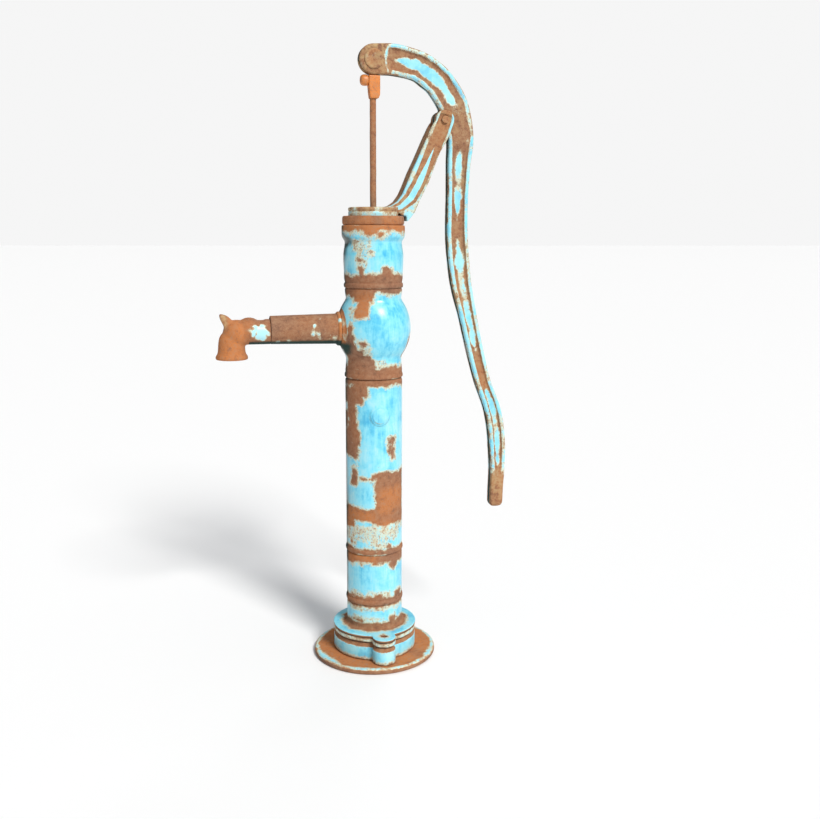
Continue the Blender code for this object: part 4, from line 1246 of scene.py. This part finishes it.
def makeLever(paint):
    line = lever["line"]
    bm = bmesh.new()
    loops = []
    count = (len(line) - 1) * lever["stations"]
    for step in range(count + 1):
        place = step / lever["stations"]
        x, z, width = curvePoint(line, place)
        ahead = curvePoint(line, min(place + 0.1, len(line) - 1))
        behind = curvePoint(line, max(place - 0.1, 0))
        run = Vector((ahead[0] - behind[0], ahead[1] - behind[1])).normalized()
        normal = Vector((-run.y, run.x))
        side = leverSection(width, hollowAt(x, z))
        across = side + [(-u, y) for u, y in side[-2:0:-1]]
        loops.append(leverLoop(bm, x, z, normal, across, 1.0))
    # The grip's end is rounded
    x, z, width = line[-1]
    flat = leverSection(width, 0.0)
    across = flat + [(-u, y) for u, y in flat[-2:0:-1]]
    for turn in range(1, 7):
        angle = math.radians(turn * 14)
        endZ, shrink = z - lever["endReach"] * math.sin(angle), math.cos(angle) ** 0.6
        loops.append(leverLoop(bm, x, endZ, Vector((1, 0)), across, shrink))
    for first, second in zip(loops, loops[1:]):
        bmesh.ops.bridge_loops(bm, edges=first + second)
    bmesh.ops.holes_fill(bm, edges=loops[0] + loops[-1], sides=0)
    bmesh.ops.recalc_face_normals(bm, faces=bm.faces)

    eye, pin = jointPoint("rod_pivot"), jointPoint("handle_pivot")
    thick = lever["half"]
    disc = discMesh(lever["eye"], thick, eye)
    lug = discMesh(lever["lug"], thick, pin)
    chamber = barMesh(lever["chamber"], -lever["slotHalf"], lever["slotHalf"], towards((0, 1, 0), eye))
    outline = [(0.012, -0.01), (0.012, -0.035), (-0.04, -0.035), (-0.04, -0.012), (-0.012, 0.006)]
    sweep = slabMesh(
        bmesh.new(), [(eye.x + x, eye.z + z) for x, z in outline],
        -lever["slotHalf"] - 0.0001, lever["slotHalf"] + 0.0001,
    )
    eyeHole = barMesh(pinHoles["eye"], -0.03, 0.03, towards((0, 1, 0), eye))
    pinHole = barMesh(pinHoles["fulcrum"], -0.03, 0.03, towards((0, 1, 0), pin))
    done = cast(bm, [disc, lug], [chamber, sweep, eyeHole, pinHole], voxel=0.0017, smoothing=2)
    piece = newPiece("leverCasting", done, paint, "handle", ["lever"])
    paintWearAndShade(piece, leverWearAt)
    print("lever made")


def leverLoop(bm, x, z, normal, across, shrink):
    verts = []
    for u, y in across:
        verts.append(bm.verts.new((axisX + x + normal.x * u * shrink, y * shrink, z + normal.y * u * shrink)))
    return [bm.edges.new(pair) for pair in zip(verts, verts[1:] + verts[:1])]


def discMesh(radius, half, at):
    # A round cheek with eased edges
    loop = [
        (0.0, -half), (radius - 0.003, -half), (radius - 0.001, -half + 0.0009), (radius, -half + 0.003),
        (radius, half - 0.003), (radius - 0.001, half - 0.0009), (radius - 0.003, half), (0.0, half),
    ]
    return spunMesh(loop, towards((0, 1, 0), at), 96)


def jointPoint(name):
    for joint in frame["joints"]:
        if joint["name"] == name:
            return Vector(joint["pos_m"])


def alongLine(line, x, z):
    # How far along a banded line, and how far across it as a share of half the band's width
    best = np.full(len(x), 9.0)
    along = np.zeros(len(x))
    across = np.zeros(len(x))
    for index, ((ax, az, aw), (bx, bz, bw)) in enumerate(zip(line, line[1:])):
        runX, runZ = bx - ax, bz - az
        t = clip(((x - ax) * runX + (z - az) * runZ) / (runX**2 + runZ**2))
        away = np.hypot(x - ax - runX * t, z - az - runZ * t)
        side = np.sign(runX * (z - az - runZ * t) - runZ * (x - ax - runX * t))
        nearer = away < best
        best = np.where(nearer, away, best)
        along = np.where(nearer, index + t, along)
        across = np.where(nearer, side * away / ((aw + (bw - aw) * t) / 2), across)
    return along, across


def leverStrips(place, shift):
    # Where the hollow keeps its paint: 1 well inside a painted stretch, 0 in a rusty one
    share = np.zeros(len(place))
    for start, end in lever["painted"]:
        share = np.maximum(share, clip((place - start + shift) / 0.9) * clip((end - place + shift) / 0.9))
    return share


def leverWearAt(spots):
    x, z = spots.x, spots.z
    place, u = alongLine(lever["line"], x, z)
    wobble = 0.11 * spots.wave(28) + 0.08 * spots.wave(85, 1.0) + 0.05 * spots.wave(190, 2.0)
    painted = leverStrips(place, spots.roughen(0.3))
    size = np.abs(u) + wobble * 0.45
    strip = clip((0.36 * painted**0.5 - size) / 0.26 + 0.4) * clip(painted * 2)
    rimShare = clip(0.85 + 0.35 * painted + 0.8 * spots.wave(11, 4.0))
    rimShare *= clip((place - 0.5) / 0.4) * clip((20.6 - place) / 0.8)
    widths = np.interp(place, np.arange(len(lever["line"])), [part[2] for part in lever["line"]])
    inner = 1 - lever["rim"] / (widths / 2)
    rim = clip((size - inner + 0.06) / 0.09) * clip((1.06 - size) / 0.12) * rimShare
    strip *= spots.mottle(0.95, 0.9, 19, 7.0)
    lower = clip((place - 8.5) / 2)
    rust = 0.655 - (0.48 - 0.1 * lower) * strip - (0.33 - 0.04 * lower) * rim + wobble * (0.9 + 0.35 * lower)
    # The upper rim's line of paint runs on round the pocket's end
    pocket = clip(1 - np.abs(x - 0.0225 - 0.008 * u**2) / 0.006) * clip((0.95 - size) / 0.1) * (z > 1.09)
    rust = np.minimum(rust, 0.74 - 0.34 * pocket + wobble)
    # The eye and the fulcrum are the colour of straw
    straw = 0.3 + 0.6 * clip((0.9 - place) / 0.5) + 0.15 * lower + 0.45 * spots.wave(22, 3.0)
    pale = np.where(rust > 0.5, straw, 0.4 + 0.5 * spots.wave(14))
    orange = clip(0.22 + 0.15 * lower + 0.35 * spots.wave(15))
    # The band's edges are mostly bare
    edge = (np.abs(spots.y) < lever["half"] - lever["recess"] * 1.4) & (np.abs(u) > 0.9)
    rust = np.where(edge, 0.58 + 0.35 * spots.wave(20), rust)
    # Its inner edge and the eye's end get painted shade, dark green
    paintFilmAndShade = edge * clip((-u - 0.8) / 0.1) * clip((place - 0.3) / 0.3)
    paintFilmAndShade = np.maximum(paintFilmAndShade, edge * clip((-x - 0.012) / 0.01) * (place < 0.1)) * 0.9
    return clip(rust), orange, clip(pale), paintFilmAndShade


def makeEyePin(rusty):
    eye = jointPoint("rod_pivot")
    face = lever["half"] + 0.0004
    loop = [
        (0.0, -0.021), (0.006, -0.021), (0.007, -0.02), (0.007, face), (0.0182, face),
        (0.0185, face + 0.0006),
        (0.0182, face + 0.0014), (0.0165, face + 0.0024), (0.0145, face + 0.0026), (0.011, face + 0.0018),
        (0.006, face + 0.0011), (0.0, face + 0.0009),
    ]
    bm = bmesh.new()
    spinLoop(bm, splitRuns(eased(loop, 0.0004), 0.0015, 0.0), 72, towards((0, -1, 0), eye))
    piece = newPiece("eyePin", bm, rusty, "handle", ["eye_pin"])

    def wearAt(spots):
        orange, straw = spots.mottle(0.35, 0.5, 70), spots.mottle(0.75, 0.4, 55)
        return spots.mottle(0.66, 0.22, 40), orange, straw
    paintWearAndShade(piece, wearAt)


bracket = {
    "outline": [
        (0.016, 0.8985), (0.044, 0.8985), (0.052, 0.8918), (0.0598, 0.8914), (0.061, 0.888),
        (0.0608, 0.883),
        (0.0622, 0.88), (0.0655, 0.8825), (0.07, 0.888), (0.0775, 0.897), (0.087, 0.9185),
        (0.098, 0.94),
        (0.1068, 0.958), (0.1184, 0.989), (0.1285, 1.013), (0.139, 1.029), (0.1475, 1.048),
    ],
    "inner": [
        (0.1165, 1.068), (0.111, 1.059), (0.1, 1.036), (0.092, 1.018), (0.0806, 0.993),
        (0.0707, 0.973),
        (0.06, 0.947), (0.0525, 0.931), (0.0426, 0.9175), (0.031, 0.91), (0.02, 0.907),
    ],
    "half": 0.022, "tip": 0.018, "recess": 0.0032, "rim": 0.0052,
    "line": [
        (0.03, 0.901, 0.018), (0.05, 0.9085, 0.026), (0.07, 0.926, 0.036), (0.084, 0.95, 0.036),
        (0.0975, 0.979, 0.036), (0.111, 1.011, 0.038), (0.124, 1.04, 0.038), (0.137, 1.072, 0.036),
        (0.139, 1.08, 0.034),
    ],
}
capFacts = {
    "r": 0.0484, "top": 0.907, "flange": 0.0533, "flangeLow": 0.8823, "flangeHigh": 0.8857,
    "slotStart": -0.037, "slotEnd": 0.009, "slotHalf": 0.008,
}


def makeCap(paint):
    pin = jointPoint("handle_pivot")
    tip = arc((pin.x - axisX, pin.z), bracket["tip"], -22.0, 188.0, 20)
    outline = [(x + axisX, z) for x, z in bracket["outline"] + tip + bracket["inner"]]
    arm = slabMesh(bmesh.new(), outline, -bracket["half"], bracket["half"])
    cap = capFacts
    r, top = cap["r"], cap["top"]
    loop = [
        (0.0, 0.896), (0.042, 0.896), (0.042, cap["flangeLow"]), (cap["flange"], cap["flangeLow"]),
        (cap["flange"], cap["flangeHigh"]), (r - 0.0002, cap["flangeHigh"]), (r - 0.0002, 0.8975),
        (r - 0.0016, 0.8988), (r - 0.0016, 0.9), (r, 0.9012), (r, top - 0.0022), (r - 0.0018, top),
        (0.0, top),
    ]
    start = spunMesh(loop, upright(), 128)
    hollows = []
    for side in (-1, 1):
        face, floor = side * (bracket["half"] + 0.004), side * (bracket["half"] - bracket["recess"])
        hollows.append(slabMesh(bmesh.new(), hollowOutline(), face, floor))
    half = cap["slotHalf"]
    slot = arc((cap["slotEnd"] - half, 0.0), half, -90.0, 90.0, 12)
    slot += arc((cap["slotStart"] + half, 0.0), half, 90.0, 270.0, 12)
    rodSlot = slabMesh(bmesh.new(), [(x + axisX, y) for x, y in slot], 0.88, 0.92, "XY")
    fork = barMesh(0.029, -0.0129, 0.0129, towards((0, 1, 0), (axisX + 0.139, 0, 1.068)), 64)
    pinHole = barMesh(pinHoles["fulcrum"], -0.03, 0.03, towards((0, 1, 0), pin))
    done = cast(start, [arm], hollows + [fork, rodSlot, pinHole], voxel=0.0013, smoothing=3)
    piece = newPiece("capBracket", done, paint, "stand", ["cap_bracket"])
    paintWearAndShade(piece, capWearAt)
    print("cap and bracket made")


def hollowOutline():
    # The hollow follows the arm's middle line, narrower than the arm by its two rims
    line = bracket["line"][2:]
    left, right = [], []
    for index, (x, z, width) in enumerate(line):
        before, after = line[max(index - 1, 0)], line[min(index + 1, len(line) - 1)]
        run = Vector((after[0] - before[0], after[1] - before[1])).normalized()
        half = width / 2 - bracket["rim"]
        left.append((axisX + x - run.y * half, z + run.x * half))
        right.append((axisX + x + run.y * half, z - run.x * half))
    return smoothOutline(right + left[::-1], 4)


def capWearAt(spots):
    x, z, top = spots.x, spots.z, capFacts["top"]
    shift = spots.roughen(0.006)
    wobble = 0.1 * spots.wave(40) + 0.06 * spots.wave(110, 1.0)
    # The arm: raised rims keep pale paint, and a strip widens down the hollow
    _, u = alongLine(bracket["line"], x, z)
    size = np.abs(u) + wobble * 0.6
    tipArea = clip((z - 1.035) / 0.02)
    rim = clip((size - 0.66) / 0.08)
    stripWidth = 0.3 * clip((1.02 - z + shift) / 0.06) + 0.08
    strip = clip((stripWidth - np.abs(u + 0.05) + wobble * 0.3) / 0.12) * clip((1.03 - z + shift) / 0.02)
    rim *= spots.mottle(0.8, 0.9, 16, 6.0) * np.where((u < 0) & (z < 1.05), 0.72, 1.0)
    arm = 0.7 - 0.37 * rim - 0.52 * strip + wobble * 0.9 - 0.2 * tipArea * clip(-u) * rim
    footTip = clip((0.902 - z) / 0.01) * clip((x - 0.054) / 0.004)
    arm = np.where(np.abs(spots.y) < bracket["half"] - 0.0045, 0.78 + wobble, arm)
    arm = arm * (1 - footTip) + footTip * (0.22 + wobble)
    # The cap: rust round its upper edge, paint below and on top
    below = 0.38 + 0.8 * wobble + 0.16 * clip(spots.wave(25, 2.0))
    side = np.where(z < 0.8985, below, 0.55 + 2 * wobble)
    face = 0.4 + 0.12 * clip((spots.radius - 0.04) / 0.008) + 1.6 * wobble
    cap = np.where(z > top - 0.0008, face, side)
    onCap = (spots.radius < 0.0493) & (z < top + 0.0006) & ~((x > 0.04) & (z < 0.9))
    orange = np.where(onCap, 0.3, 0.35 + 0.3 * spots.wave(20))
    pale = np.where(onCap, 0.8, 0.55 + 0.5 * spots.wave(18))
    return clip(np.where(onCap, cap, arm)), clip(orange), clip(pale)


def makeFulcrumPin(rusty):
    pin = jointPoint("handle_pivot")
    head = bracket["half"] + gap
    loop = [
        (0.0, -0.03), (0.0047, -0.03), (0.0057, -0.029), (0.0057, head), (0.0069, head),
        (0.007, head + 0.0006),
        (0.0062, head + 0.0011), (0.004, head + 0.0015), (0.0, head + 0.0017),
    ]
    bm = bmesh.new()
    spinLoop(bm, splitRuns(eased(loop, 0.0003), 0.0015, 0.0), 48, towards((0, -1, 0), pin))
    piece = newPiece("fulcrumPin", bm, rusty, "stand", ["fulcrum_pin"])
    paintWearAndShade(piece, lambda spots: (spots.mottle(0.68, 0.2, 90), 0.45, 0.3))


rodHead = {
    "outline": [
        (-0.0088, 1.149), (-0.009, 1.142), (-0.0088, 1.13), (-0.0078, 1.118), (-0.0068, 1.111),
        (-0.006, 1.1075),
        (0.009, 1.1075), (0.0108, 1.11), (0.0124, 1.115), (0.0127, 1.125), (0.0127, 1.149),
    ],
    "half": 0.0095,
}


def makeRod(orange, rusty):
    eye = jointPoint("rod_pivot")
    outline = [(x + axisX, z) for x, z in rodHead["outline"]]
    start = slabMesh(bmesh.new(), outline, -rodHead["half"], rodHead["half"])
    tongue = arc((eye.x, eye.z), 0.015, -60.0, 240.0, 40) + [(eye.x - 0.0075, 1.148), (eye.x + 0.0075, 1.148)]
    tongueMesh = slabMesh(bmesh.new(), tongue, -0.005, 0.005)
    rodHole = barMesh(0.0065, 1.09, 1.1458, upright())
    pinHole = barMesh(pinHoles["eye"], -0.02, 0.02, towards((0, 1, 0), eye))
    screwZ = (lowOf("rod_set_screw") + highOf("rod_set_screw")) / 2
    screwHole = barMesh(0.0043, 0.002, 0.02, towards((-1, 0, 0), (axisX, 0, screwZ)))
    done = cast(start, [tongueMesh], [rodHole, pinHole, screwHole], voxel=0.0008, smoothing=5)
    piece = newPiece("rodHead", done, orange, "rod", ["rod_head"])
    paintWearAndShade(piece, lambda spots: (spots.mottle(0.75, 0.1, 60), spots.mottle(0.95, 0.3, 90), 0.05))

    loop = [
        (0.0, 0.0064), (0.004, 0.0064), (0.004, 0.0093), (0.0088, 0.0093), (0.01, 0.0108),
        (0.0103, 0.0135),
        (0.0103, 0.0175), (0.0099, 0.02), (0.0086, 0.0222), (0.0064, 0.0237), (0.0035, 0.0244),
        (0.0, 0.0245),
    ]
    piece = turnedPiece(
        "rodSetScrew", loop, orange, "rod", ["rod_set_screw"],
        matrix=towards((-1, 0, 0), (axisX, 0, screwZ)), steps=56, longest=0.0015, ease=0.0004,
    )
    paintWearAndShade(piece, lambda spots: (spots.mottle(0.72, 0.1, 60), spots.mottle(0.95, 0.3, 90), 0.05))

    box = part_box("pump_rod")
    radius = (box[1].x - box[0].x) / 2
    low, high = box[0].z, box[1].z
    bm = bmesh.new()
    loop = [
        (0.0, low), (radius - 0.0008, low), (radius, low + 0.001),
        (radius, high - 0.001), (radius - 0.0008, high), (0.0, high),
    ]
    spinLoop(bm, splitRuns(loop, 0.004, 0.003), 32, upright())
    for vertex in bm.verts:
        # The rod has worn and pitted unevenly
        away = Vector((vertex.co.x - axisX, vertex.co.y, 0))
        if away.length > 0.004:
            vertex.co -= away.normalized() * 0.0004 * clamp(noise.noise(vertex.co * 55) + 0.4)
    piece = newPiece("pumpRod", bm, rusty, "rod", ["pump_rod"])

    def wearAt(spots):
        bright = clip((spots.z - 1.0) / 0.1)
        return spots.mottle(0.78, 0.12, 50), clip(0.25 + 0.3 * bright + 0.3 * spots.wave(30)), 0.1
    paintWearAndShade(piece, wearAt)
    print("rod made")


def dressFrame():
    # Pieces of the frame that keep their shape get their finish here
    finishes = {
        "brass": plainMetal("dullBrass", (0.3, 0.19, 0.06), (0.62, 0.43, 0.17), 60, 0.42, 1.0),
        "leather": plainMetal("oiledLeather", (0.05, 0.028, 0.018), (0.16, 0.085, 0.045), 120, 0.7, 0.0),
        "iron": plainMetal("bareIron", (0.035, 0.03, 0.028), (0.12, 0.1, 0.085), 70, 0.62, 0.6),
        "steel": plainMetal("rustySteel", (0.1, 0.055, 0.035), (0.3, 0.19, 0.13), 150, 0.55, 0.5),
        "rust": plainMetal("studRust", (0.1, 0.045, 0.025), (0.36, 0.16, 0.08), 150, 0.85, 0.0, 0.0006),
    }
    slots = {part["node"]: part["material_slot"] for part in frame["record"]["subparts"]}
    for node, item in frame["nodes"].items():
        finish = finishes.get(slots.get(node))
        if finish and not item.hide_render:
            item.data.materials.clear()
            item.data.materials.append(finish)


bpy.context.scene.view_settings.view_transform = "Standard"
makeCamera()
for lightName, lightFacts in lights.items():
    makeLight(lightName, lightFacts)
makeRoom()
columnPaint = wornPaint("columnPaint", roughness=0.28)
castPaint = wornPaint("castPaint", roughness=0.34, streaks=0.5)
bareRust = wornPaint("bareRust", roughness=0.45, streaks=0.3)
glossyRust = wornPaint("glossyRust", roughness=0.35, streaks=0.3, rustRoughness=0.3, bright="amber")
print("room and finishes made")
makeColumn(columnPaint)
makeFoot(castPaint, bareRust)
makePlug(columnPaint)
makeClampRing(bareRust)
makeSpout(castPaint, bareRust)
makeLever(castPaint)
makeEyePin(bareRust)
makeCap(castPaint)
makeFulcrumPin(bareRust)
makeRod(glossyRust, bareRust)
dressFrame()
print("pieces made")
